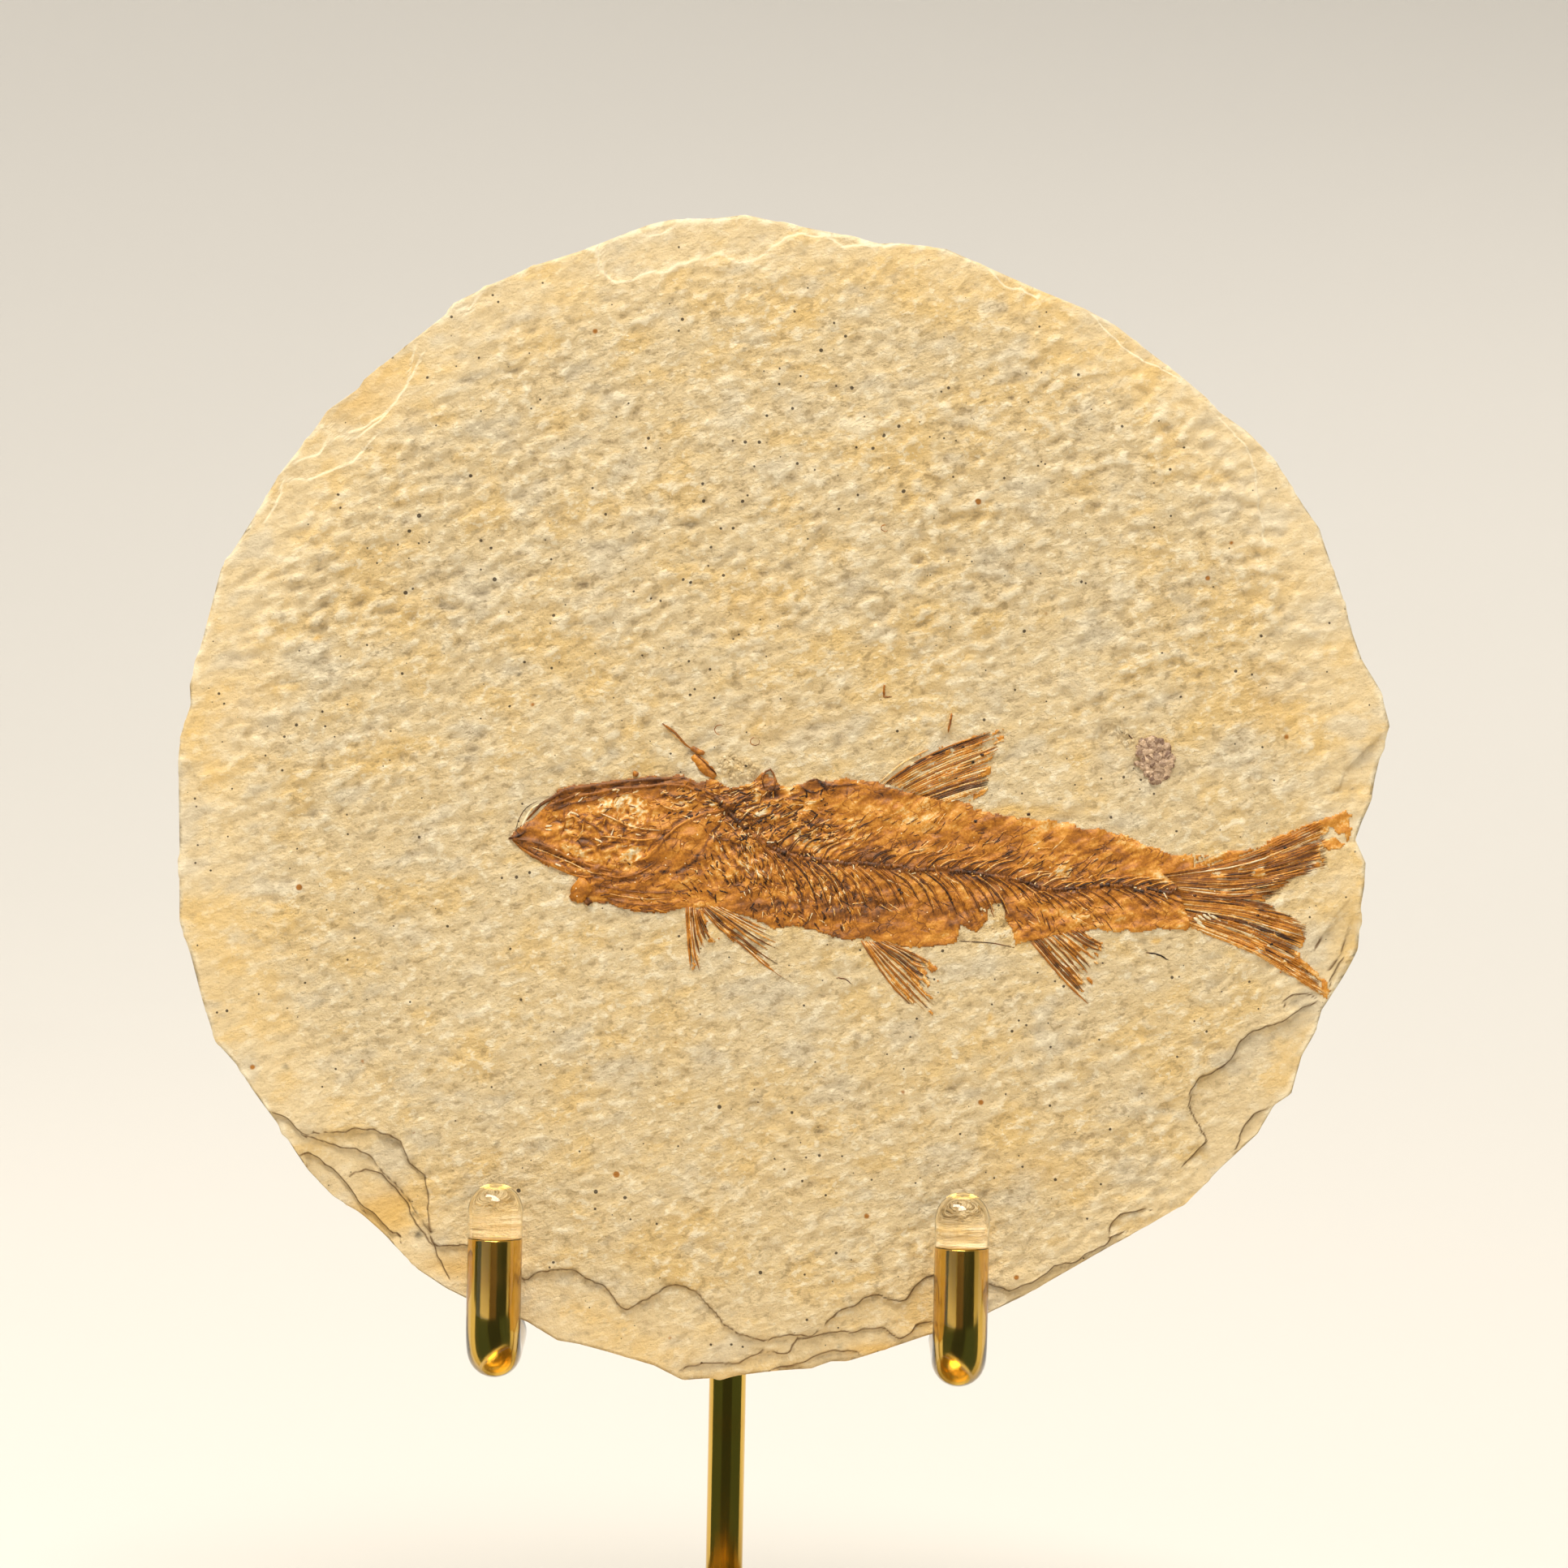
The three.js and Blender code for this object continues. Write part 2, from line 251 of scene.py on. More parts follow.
def lamp(name, place, target, width, height, power, colour):
    light = bpy.data.lights.new(name, "AREA")
    light.shape = "RECTANGLE"
    light.size = width
    light.size_y = height
    light.energy = power
    light.color = colour
    made = bpy.data.objects.new(name, light)
    bpy.context.collection.objects.link(made)
    made.location = place
    made.rotation_mode = "QUATERNION"
    made.rotation_quaternion = (Vector(target) - Vector(place)).to_track_quat("-Z", "Y")


slab_middle = (0.004, -0.01, 0.089)
lamp("key_lamp", (-0.18, -0.30, 0.92), slab_middle, 0.9, 0.18, 10.8, (1.0, 0.955, 0.865))
lamp("front_lamp", (0.35, -1.0, 0.45), slab_middle, 0.7, 0.5, 0.8, (1.0, 0.96, 0.9))
lamp("back_lamp", (0.3, 0.8, 0.8), slab_middle, 0.7, 0.5, 3.0, (1.0, 0.97, 0.93))
lamp("wall_lamp", (0.0, 0.5, 1.9), (0.0, 1.9, 0.5), 1.6, 0.6, 11.0, (1.0, 0.98, 0.95))
world = bpy.data.worlds.new("studio")
world.use_nodes = True
world.node_tree.nodes["Background"].inputs["Color"].default_value = (1.0, 0.98, 0.95, 1)
world.node_tree.nodes["Background"].inputs["Strength"].default_value = 0.26
bpy.context.scene.world = world

# ---- The foot ----
# A turned and polished brass disc with a blind hole in its middle for the rod, which is pressed and
# soldered in. Its rims are broken with a fine chamfer, and turning has left faint rings on its top.
FOOT_RADIUS = 37
FOOT_HEIGHT = 6
FOOT_EDGE = 0.9
SOCKET_RADIUS = 1.7
SOCKET_DEPTH = 4
BRASS = linear(222, 182, 88)

brass = Finish("polished_brass", Base_Color=BRASS, Metallic=1.0)
smears = brass.noise(9, detail=4)
scratches = brass.noise((0.05, 0.05, 2.5), detail=1)
tarnish = brass.fade(smears, 0.52, 0.75)
brass.give(
    Base_Color=brass.mix(BRASS, linear(196, 138, 62), tarnish * 0.5),
    Roughness=0.09 + tarnish * 0.10 + scratches * 0.05,
    Normal=brass.bump(scratches, 0.004, 0.35),
)

turned_brass = Finish("turned_brass", Base_Color=BRASS, Metallic=1.0)
radial = turned_brass.node("TexCoord", output=3)
flat = turned_brass.node("VectorMath", {"operation": "MULTIPLY"}, {0: radial, 1: (1, 1, 0)})
radius = turned_brass.node("VectorMath", {"operation": "LENGTH"}, {0: flat}, output=1)
rings = turned_brass.node("TexNoise", {"noise_dimensions": "1D"}, {"W": radius, "Scale": 5200, "Detail": 2})
worn = turned_brass.fade(turned_brass.noise(14, detail=4), 0.5, 0.72)
turned_brass.give(
    Base_Color=turned_brass.mix(BRASS, linear(190, 134, 62), worn * 0.55),
    Roughness=0.17 + worn * 0.14 + rings * 0.06,
    Normal=turned_brass.bump(rings, 0.006, 0.4),
)

edge = [(sin(a), cos(a)) for a in np.linspace(0, pi / 2, 6)]
inner = FOOT_RADIUS - FOOT_EDGE
profile = [(0, 0), (FOOT_RADIUS - 0.5, 0), (FOOT_RADIUS, 0.5), (FOOT_RADIUS, FOOT_HEIGHT - FOOT_EDGE)]
profile += [(inner + FOOT_EDGE * c, FOOT_HEIGHT - FOOT_EDGE + FOOT_EDGE * s) for s, c in edge[1:]]
profile += [(FOOT_RADIUS - 4.2, FOOT_HEIGHT), (FOOT_RADIUS - 4.5, FOOT_HEIGHT - 0.25)]
profile += [(FOOT_RADIUS - 4.9, FOOT_HEIGHT - 0.25), (FOOT_RADIUS - 5.2, FOOT_HEIGHT)]
profile += [(SOCKET_RADIUS + 0.3, FOOT_HEIGHT), (SOCKET_RADIUS, FOOT_HEIGHT - 0.3)]
profile += [(SOCKET_RADIUS, FOOT_HEIGHT - SOCKET_DEPTH), (0, FOOT_HEIGHT - SOCKET_DEPTH)]
foot = spun("foot", [(r * MM, z * MM) for r, z in profile], turned_brass.material, steps=128)
foot.data.set_sharp_from_angle(angle=radians(32))
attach(foot, "root")
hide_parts("base")

# ---- The rod, the crossbar and the two hooks ----
# Polished brass wire of one gauge: an upright rod, a bar brazed across its front, and two hooks bent
# from single lengths and brazed under the bar. Each cut end is dressed with a fine file.
WIRE = 1.65
WIRE_CUT = 0.18
JOINT_GAP = 0.1
ROD_TOP = 90.6
ROD_FOOT = 2.1
BAR_Y = -3.4
BAR_Z = 53
BAR_REACH = 22
HOOK_X = 20
HOOK_Z = 41
PRONG_GAP = 2.8
PRONG_HEIGHT = 10.3
BEND = 4
WIRE_SIDES = 64
BEND_STEPS = 28


def bent(corners, radius):
    """The path through the corners, with a round bend at each but the ends."""
    path = [Vector(corners[0])]
    for before, corner, after in zip(corners, corners[1:], corners[2:]):
        corner = Vector(corner)
        start = corner + (Vector(before) - corner).normalized() * radius
        end = corner + (Vector(after) - corner).normalized() * radius
        for step in range(BEND_STEPS + 1):
            t = step / BEND_STEPS
            path.append(start.lerp(corner, t).lerp(corner.lerp(end, t), t))
    path.append(Vector(corners[-1]))
    return path


def sweep(bm, path, radii, side):
    """An open round tube along the path, in millimetres. Gives the edges of its first and last rings."""
    directions = [(b - a).normalized() for a, b in zip(path, path[1:])]
    directions = [directions[0], *directions, directions[-1]]
    places = []
    for point, before, after, radius in zip(path, directions, directions[1:], radii):
        along = (before + after).normalized()
        across = along.cross(side).normalized()
        turned = Matrix((side, across, along)).transposed().to_4x4()
        places.append(Matrix.Translation(point) @ turned @ Matrix.Scale(radius, 4))
    circle = bmesh.ops.create_circle(bm, segments=WIRE_SIDES, radius=1, matrix=places[0])["verts"]
    first = list(dict.fromkeys(edge for vertex in circle for edge in vertex.link_edges))
    last = first
    for before, after in zip(places, places[1:]):
        grown = bmesh.ops.extrude_edge_only(bm, edges=last)["geom"]
        last = [item for item in grown if isinstance(item, bmesh.types.BMEdge)]
        verts = [item for item in grown if isinstance(item, bmesh.types.BMVert)]
        bmesh.ops.transform(bm, matrix=after @ before.inverted(), verts=verts)
    return first, last


def wire(name, path, side):
    """A length of wire with its two cut ends softened."""
    bm = bmesh.new()
    rims = sweep(bm, path, [WIRE] * len(path), side)
    for rim in rims:
        bmesh.ops.edgeloop_fill(bm, edges=rim)
    bmesh.ops.bevel(
        bm, geom=rims[0] + rims[1], offset=WIRE_CUT, segments=3, profile=0.5, affect="EDGES", material=-1
    )
    bmesh.ops.transform(bm, matrix=Matrix.Scale(MM, 4), verts=bm.verts[:])
    made = put(name, bm, brass.material)
    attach(made, "root")
    return made


ALONG_X = Vector((1, 0, 0))
rod = wire("upright_rod", [Vector((0, 0, ROD_FOOT)), Vector((0, 0, ROD_TOP))], ALONG_X)
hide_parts("spine_rod")
bar_ends = [Vector((-BAR_REACH, BAR_Y, BAR_Z)), Vector((BAR_REACH, BAR_Y, BAR_Z))]
crossbar = wire("cross_bar", bar_ends, Vector((0, 0, 1)))
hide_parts("crossbar")

prong_y = SLAB_CENTRE.y - PRONG_GAP / cos(SLAB_LEAN) - (SLAB_CENTRE.z - HOOK_Z) * tan(SLAB_LEAN)
prong_foot = Vector((0, prong_y, HOOK_Z))
prong_up = Vector((0, sin(SLAB_LEAN), cos(SLAB_LEAN)))
for word, x in (("left", -HOOK_X), ("right", HOOK_X)):
    aside = Vector((x, 0, 0))
    corners = [
        prong_foot + prong_up * PRONG_HEIGHT + aside,
        prong_foot + aside,
        Vector((x, BAR_Y, HOOK_Z)),
        Vector((x, BAR_Y, BAR_Z - WIRE - JOINT_GAP)),
    ]
    hook = wire(f"prong_{word}", bent(corners, BEND), ALONG_X)
    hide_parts(f"hook_{word}")

# ---- The clear tips ----
# Soft clear vinyl tube with a round closed end, pushed over each prong and over the top of the rod so
# that no metal touches the stone. It clings to the wire, which it magnifies to its own full width.
SLEEVE = 2.35
SLEEVE_END = 2.35
BORE = 1.62
CAP_OVERLAP = 0.2
DOME_STEPS = 24
TIP_FOOT = 83

vinyl = Finish(
    "clear_vinyl",
    Base_Color=(0.97, 0.965, 0.94),
    Roughness=0.02,
    IOR=1.45,
    Transmission_Weight=1.0,
)


def sleeve(name, path, up, bore_end):
    """A blind tube: its path starts at the middle of the round end and runs to the open end."""
    tube = bmesh.new()
    dome = []
    radii = []
    for step in range(DOME_STEPS, 0, -1):
        a = pi / 2 * step / DOME_STEPS
        dome.append(path[0] + up * SLEEVE * sin(a))
        radii.append(max(SLEEVE * cos(a), 0.02))
    top, mouth = sweep(tube, dome + path, radii + [SLEEVE] * len(path), ALONG_X)
    bottom, bore_mouth = sweep(tube, [bore_end, *path[1:]], [BORE] * len(path), ALONG_X)
    bmesh.ops.edgeloop_fill(tube, edges=top)
    bmesh.ops.edgeloop_fill(tube, edges=bottom)
    bmesh.ops.bridge_loops(tube, edges=mouth + bore_mouth)
    bmesh.ops.transform(tube, matrix=Matrix.Scale(MM, 4), verts=tube.verts[:])
    made = put(name, tube, vinyl.material)
    made.data.set_sharp_from_angle(angle=radians(40))
    made.visible_shadow = False
    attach(made, "root")
    return made


for word, x in (("left", -HOOK_X), ("right", HOOK_X)):
    aside = Vector((x, 0, 0))
    corners = [
        prong_foot + prong_up * (PRONG_HEIGHT + SLEEVE_END) + aside,
        prong_foot + aside,
        Vector((x, BAR_Y - BEND - JOINT_GAP, HOOK_Z)),
    ]
    bore_end = prong_foot + prong_up * (PRONG_HEIGHT - CAP_OVERLAP) + aside
    tip = sleeve(f"tip_{word}", bent(corners, BEND), prong_up, bore_end)
    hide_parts(f"sleeve_{word}")

UP = Vector((0, 0, 1))
rod_tip_path = [UP * (ROD_TOP + SLEEVE_END), UP * (ROD_TOP - 1), UP * TIP_FOOT]
rod_tip = sleeve("tip_rear", rod_tip_path, UP, UP * (ROD_TOP - CAP_OVERLAP))
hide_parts("back_tip")

# ---- The slab ----
# One split of fine cream limestone, trimmed round with small blows from its edge, so that the edge is
# chipped and its layers have flaked back. It stands on the two hooks and leans on the rod's tip.
SLAB_THICKNESS = 7
FACE_CELLS = 260
BACK_CELLS = 100
LAYERS = 7
LAYER_GAP = 0.012
FACE_SHARE = 0.993
BACK_SHARE = 0.952
EVEN_RADIUS = 51
GRAIN_TURN = radians(18)
# Where a surface layer ends, as [right, up] corners on the face, and how far the next one lies below.
LAYER_EDGES = [
    (0.34, [(-45, -26.5), (-43.5, -27.3), (-43, -27.4), (-41.6, -28.8), (-39.3, -28.8), (-36.7, -28.4),
        (-35.2, -28.5), (-33.1, -29.5), (-32.2, -31.4), (-30.9, -32.5), (-30.8, -33.9), (-30.7, -35.6),
        (-30.5, -37.7), (-30, -38.6), (-27.4, -38.4), (-24.9, -39.7), (-22.3, -41.5), (-21.3, -40.8),
        (-19.7, -40.6), (-18.3, -40.5), (-17.4, -41), (-15.3, -42.1), (-14.3, -43.8), (-13.5, -44.1),
        (-11.9, -43.1), (-9.8, -41.9), (-8.3, -42.1), (-7.2, -42.9), (-6.1, -44.1), (-5, -45.4),
        (-3.9, -46.2), (-3, -46.3), (-1.5, -46.8), (-1, -46.4), (1.1, -46.2), (2.6, -46.3),
        (3.5, -45.4), (4.6, -44.2), (5.7, -43.7), (6.2, -43.8), (6.9, -42.9), (8.3, -42.6), (9, -43.2),
        (10.5, -43.2), (11.1, -42.2), (12.2, -41.2), (13.2, -41), (15.3, -41), (18, -41.9),
        (19.3, -42.4), (20.9, -41.9), (22.3, -41.2), (23.3, -40.1), (24.9, -40), (26.2, -39.1),
        (27.9, -38.4), (28.1, -37.8), (29.5, -37.3)]),
    (0.28, [(-41.6, -29), (-40.2, -29.4), (-38.4, -30), (-37.1, -30.1), (-35.6, -30.9), (-34.9, -31.9),
        (-33.7, -33), (-32.6, -34.3), (-31.5, -36.1), (-30.4, -37.7), (-30, -39.2), (-29.1, -40.8),
        (-28.8, -41.7)]),
    (0.32, [(-42.4, -30.9), (-41.1, -30.5), (-39.8, -31.3), (-38.4, -32.4), (-37.1, -34.1),
        (-36.5, -35), (-35.3, -35.9), (-34.2, -37.1), (-33.2, -37.7), (-33, -38.6)]),
    (0.26, [(-9.4, -49.6), (-8.3, -48.9), (-6.1, -48.7), (-4.3, -48.7), (-3.6, -48.6), (-3, -48.2),
        (-1.8, -47.6), (0.3, -47.9), (0.8, -47), (1.3, -46.5)]),
    (0.30, [(1.1, -46.5), (2.6, -46.4), (3.9, -46), (6, -45.9), (8.6, -45.6), (9.9, -46.6),
        (10.8, -46.2), (11.4, -45.4), (12.4, -45.1), (13.1, -45.1)]),
    (0.26, [(-1.8, -49.7), (-0.3, -49), (1.5, -48.7), (2.8, -48), (4.6, -47.6), (6.4, -47.8),
        (7.4, -48.4)]),
    (0.34, [(46.2, -17.4), (43.7, -18.6), (43.1, -19.2), (41.3, -19.7), (40, -20.3), (39, -21.2),
        (38.7, -22.3), (37.2, -23.5), (35.8, -24), (35, -25.2), (35, -26.6), (35.9, -28.4),
        (36.5, -29.5), (35.1, -30.9), (34.2, -31.8)]),
    (0.26, [(42.1, -26.6), (40.5, -27.2), (39.7, -28.2), (39.3, -29.5), (38.9, -30.7)]),
    (0.22, [(28.1, -38.1), (28.1, -36.5), (29.2, -35.7), (31.1, -35.3), (32.1, -35.4)]),
    (0.24, [(52.4, 6.1), (51, 5.1), (50.2, 4.4), (49.6, 3.4), (48.4, 2.7), (48, 1.2), (47.2, 0.6),
        (46.1, 0.4)]),
    (0.22, [(48.9, -9.3), (47.5, -10.6), (45.9, -12.7)]),
    (0.20, [(49.2, -9.5), (48.2, -13.1), (46.9, -15.1)]),
    (0.22, [(-52.4, 3.6), (-51.4, 3.1), (-50.5, 1.6), (-50.2, -0.1), (-49.6, -2), (-49.4, -3.7),
        (-49.6, -5.5), (-50.3, -6.7), (-50.7, -6.9)]),
    (0.16, [(-40.7, 32.4), (-39.3, 32.1), (-37.5, 31.7), (-36.2, 32.1), (-34.6, 33.2), (-33.3, 34.5),
        (-32.4, 36.1), (-32, 37.9), (-31.9, 39.5)]),
    (0.14, [(-42.7, 27.7), (-41.1, 27.6), (-39.1, 28.3), (-37.1, 29.2), (-35.8, 30.7), (-34.6, 32.3)]),
    (0.14, [(-28.4, 41.4), (-26.8, 42.1), (-26.5, 43.3)]),
    (0.16, [(-17.7, 47.5), (-16.1, 47.5), (-15.7, 46.8), (-15.3, 45.1), (-14.6, 44.7), (-13.1, 44.7),
        (-12.3, 45.3), (-10.1, 45.6), (-8.8, 46.3), (-7, 46.7), (-5.5, 47.2), (-4.1, 46.3),
        (-2.7, 46.4), (-1.4, 47.2), (0.4, 48.6), (1.3, 48.9), (2.4, 48.6), (3.5, 48.7), (5.1, 47.7),
        (6.9, 47.8), (9.3, 47.7), (10.6, 48.3)]),
    (0.15, [(17.4, 45.9), (18.3, 45.1), (19, 44.2), (20.5, 44), (22, 43.1), (22.3, 44)]),
    (0.15, [(26.3, 42.1), (27.9, 40.3), (29.3, 39), (30.8, 38), (32.8, 37), (34.6, 36.2)]),
    (0.13, [(37.3, 33.2), (40, 30.3), (40.6, 28.3), (41, 24.9), (41.5, 21.6)]),
    (0.10, [(-40.4, 32.4), (-38.7, 31.4), (-37, 31.1), (-34.6, 32.9), (-33, 34.9), (-31.9, 37),
        (-31.1, 38.6)]),
    (0.08, [(-42.6, 28.9), (-40, 29.9), (-39.3, 31.2)]),
    (0.08, [(-44.9, 23.5), (-43.5, 26.2), (-43.2, 28.2)]),
    (0.10, [(-17.6, 47.6), (-16.1, 47.4), (-15.8, 45.7), (-14.8, 44.7), (-13.4, 44.7)]),
    (0.10, [(-13.4, 49.1), (-11.7, 48.6), (-10.4, 48.8), (-9, 49.8)]),
    (0.08, [(-28.9, 42.4), (-27.2, 42.2), (-26.2, 43.7)]),
    (0.12, [(48.2, 2.4), (49.2, 3.3), (50.5, 4.7), (51.5, 5.2)]),
    (0.10, [(45.6, 0.8), (46.7, 0.5), (47.8, 0.9), (48.4, 1.8)]),
    (0.14, [(49.2, -8), (47.7, -10), (45.9, -12.5), (45.7, -13.8)]),
    (0.14, [(48.9, -13.1), (48, -14.1), (47.2, -15.3), (47, -17)]),
    (0.10, [(43.2, -18.2), (43, -17.4), (43.9, -16.8), (44.9, -16.7), (46.5, -17.4)]),
    (0.18, [(-37.5, -32.5), (-36.2, -31.9), (-34.9, -32.3), (-33.8, -33.3), (-32.5, -34.9),
        (-32, -36.3), (-30.7, -38), (-30.1, -39)]),
]


def noise(x, y, seed):
    """Smooth noise, about -1 to 1, that turns over once or so in each unit."""
    angles = np.random.default_rng(seed).uniform(0, 2 * pi, (256, 256))
    column = np.floor(x).astype(int)
    row = np.floor(y).astype(int)
    x = x - column
    y = y - row

    def pull(right, up):
        angle = angles[(column + right) % 256, (row + up) % 256]
        return np.cos(angle) * (x - right) + np.sin(angle) * (y - up)

    ease_x = x**3 * (x * (x * 6 - 15) + 10)
    ease_y = y**3 * (y * (y * 6 - 15) + 10)
    low = pull(0, 0) * (1 - ease_x) + pull(1, 0) * ease_x
    high = pull(0, 1) * (1 - ease_x) + pull(1, 1) * ease_x
    return 1.5 * (low * (1 - ease_y) + high * ease_y)


def streaks(right, up, length, width, seed, turn=GRAIN_TURN):
    """Noise drawn out along the stone's grain, which rises to the right."""
    along = right * cos(turn) + up * sin(turn)
    across = up * cos(turn) - right * sin(turn)
    return noise(along / length, across / width, seed)


def ease(values, low, high):
    share = np.clip((values - low) / (high - low), 0, 1)
    return share * share * (3 - 2 * share)


def from_line(right, up, line):
    """Each point's distance to a line, the nearest place on it, and the way along to that place."""
    nearest = np.full(right.shape, 1e9)
    foot = np.zeros((2, *right.shape))
    along = np.zeros(right.shape)
    passed = 0
    for (x0, y0), (x1, y1) in zip(line, line[1:]):
        length = max(np.hypot(x1 - x0, y1 - y0), 1e-6)
        share = np.clip(((right - x0) * (x1 - x0) + (up - y0) * (y1 - y0)) / length**2, 0, 1)
        near_right = x0 + share * (x1 - x0)
        near_up = y0 + share * (y1 - y0)
        distance = np.hypot(right - near_right, up - near_up)
        closer = distance < nearest
        nearest = np.where(closer, distance, nearest)
        foot[0] = np.where(closer, near_right, foot[0])
        foot[1] = np.where(closer, near_up, foot[1])
        along = np.where(closer, passed + share * length, along)
        passed += length
    return nearest, foot, along, passed


def inside(right, up, outline):
    within = np.zeros(right.shape, bool)
    for (x0, y0), (x1, y1) in zip(outline, [*outline[1:], outline[0]]):
        crosses = (y0 > up) != (y1 > up)
        rise = y1 - y0 if y1 != y0 else 1e-9
        within ^= crosses & (right < (x1 - x0) * (up - y0) / rise + x0)
    return within


def wavy(line):
    """The line with small bays and points between its corners, as thin stone breaks."""
    corners = np.array(line)
    lengths = np.hypot(*np.diff(corners, axis=0).T)
    passed = np.concatenate([[0], np.cumsum(lengths)])
    along = np.arange(0, passed[-1], 0.35)
    right = np.interp(along, passed, corners[:, 0])
    up = np.interp(along, passed, corners[:, 1])
    shake = 0.16 * noise(right / 0.8, up / 0.8, 31) + 0.07 * noise(right / 0.35, up / 0.35, 33)
    sway = 0.16 * noise(right / 0.8, up / 0.8, 32) + 0.07 * noise(right / 0.35, up / 0.35, 34)
    return list(zip(right + shake, up + sway))


layer_edges = [(drop, wavy(line)) for drop, line in LAYER_EDGES]


def below_edges(right, up):
    """How far the surface lies below the top layer, and how near the closest layer edge is."""
    fall = np.zeros(right.shape)
    closest = np.full(right.shape, 9.0)
    for drop, line in layer_edges:
        outer = [(x * 1.35, y * 1.35) for x, y in reversed(line)]
        distance, _, along, length = from_line(right, up, line)
        fading = np.clip(np.minimum(along, length - along) / 1.5, 0, 1)
        beyond = inside(right, up, line + outer)
        fall += np.where(beyond, drop * fading, 0)
        closest = np.minimum(closest, np.where(fading > 0, distance, 9.0))
    return fall, closest


# Chips out of the top layer: how deep each is, and its outline.
SCARS = [
    (0.26, [(27, 6), (27.9, 6.7), (29, 6.4), (30.1, 5.2), (30, 3.9), (30.5, 3), (29.3, 3.3),
        (28.3, 4.2), (27.4, 4.9)]),
    (0.20, [(29.4, 2.5), (30.4, 2.9), (31.1, 1.8), (30.2, 1.2)]),
    (0.10, [(31.2, -12.8), (32.3, -13.1), (33.5, -13.7), (33.2, -14.2), (32.1, -13.8)]),
    (0.10, [(-6.9, 6), (-6, 6.7), (-4.9, 6.2), (-4.3, 5.1), (-5.3, 4.5), (-6.4, 5.1)]),
]


def crumple(right, up):
    """The face's lumps and hollows, without its layers."""
    bent_up = up + 0.5 * noise(right / 4, up / 4, 5)
    broad = 0.30 * noise(right / 34, up / 26, 1) + 0.12 * noise(right / 11, up / 8, 2)
    crest = 0.10 - 0.20 * np.abs(streaks(right, bent_up, 2.4, 1.5, 3))
    lumps = crest + 0.19 * streaks(right, bent_up, 1.7, 1.1, 4) + 0.17 * streaks(right, up, 1.1, 0.75, 9)
    fine = 0.09 * streaks(right, up, 0.85, 0.6, 6)
    band = np.exp(-(((up - 20 - 0.12 * right) / 16) ** 2))
    calm = ease(np.hypot(right, up), 46, 51)
    strength = (0.75 + 0.45 * band) * (1 - 0.6 * calm) * (1 + 0.35 * noise(right / 9, up / 7, 8))
    return broad, (lumps + fine) * strength


def face_height(right, up):
    broad, rough = crumple(right, up)
    fall, _ = below_edges(right, up)
    for depth, outline in SCARS:
        fall = fall + depth * inside(right, up, outline)
    smoother = 1 - 0.5 * ease(fall, 0.05, 0.3)
    return broad + rough * smoother - fall


slab_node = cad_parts["slab"]
to_face = face_place.inverted()
corners = [to_face @ vertex.co for vertex in slab_node.data.vertices]
rim = {(round(p.x, 2), round(p.y, 2)) for p in corners if abs(p.z + 1) < 0.03}
rim = np.array(sorted(rim, key=lambda p: np.arctan2(p[1], p[0])))
rim_angles = np.arctan2(rim[:, 1], rim[:, 0])


def reach(angle):
    """How far the trimmed edge lies from the middle of the face in each direction."""
    last = np.searchsorted(rim_angles, angle) % len(rim)
    ax, ay = rim[last - 1].T
    bx, by = rim[last].T
    return (ax * by - ay * bx) / (np.cos(angle) * (by - ay) - np.sin(angle) * (bx - ax))


def positions(verts):
    return np.array([vertex.co for vertex in verts]).T


def move(verts, right, up, out):
    for vertex, x, y, z in zip(verts, right, up, out):
        vertex.co = (x, y, z)


def round_off(bm, cells, draw):
    """A square grid pulled out to the slab's outline, drawn in by a factor."""
    verts = bmesh.ops.create_grid(bm, x_segments=cells, y_segments=cells, size=1)["verts"]
    x, y, _ = positions(verts)
    disc_x = x * np.sqrt(1 - y * y / 2)
    disc_y = y * np.sqrt(1 - x * x / 2)
    angle = np.arctan2(disc_y, disc_x)
    share = np.hypot(disc_x, disc_y)
    even = EVEN_RADIUS + (reach(angle) * draw - EVEN_RADIUS) * share**6
    return verts, share * even * np.cos(angle), share * even * np.sin(angle)


stone_mesh = bmesh.new()
edge_shade_layer, relief_shade_layer, stain_layer, speck_layer, calm_layer = [
    stone_mesh.verts.layers.float.new(name) for name in ("edge", "relief", "stain", "specks", "calm")
]
face_verts, right, up = round_off(stone_mesh, FACE_CELLS, FACE_SHARE)
on_rim = np.array([vertex.is_boundary for vertex in face_verts])
for drop, line in layer_edges:
    distance, foot, along, length = from_line(right, up, line)
    gather = 0.2 + 0.8 * np.clip(distance / 1.0, 0, 1)
    ends = np.clip(np.minimum(along, length - along), 0, 1)
    keep = np.where(on_rim, 1, 1 + (gather - 1) * ends)
    right = foot[0] + (right - foot[0]) * keep
    up = foot[1] + (up - foot[1]) * keep
height = face_height(right, up)
move(face_verts, right, up, height)

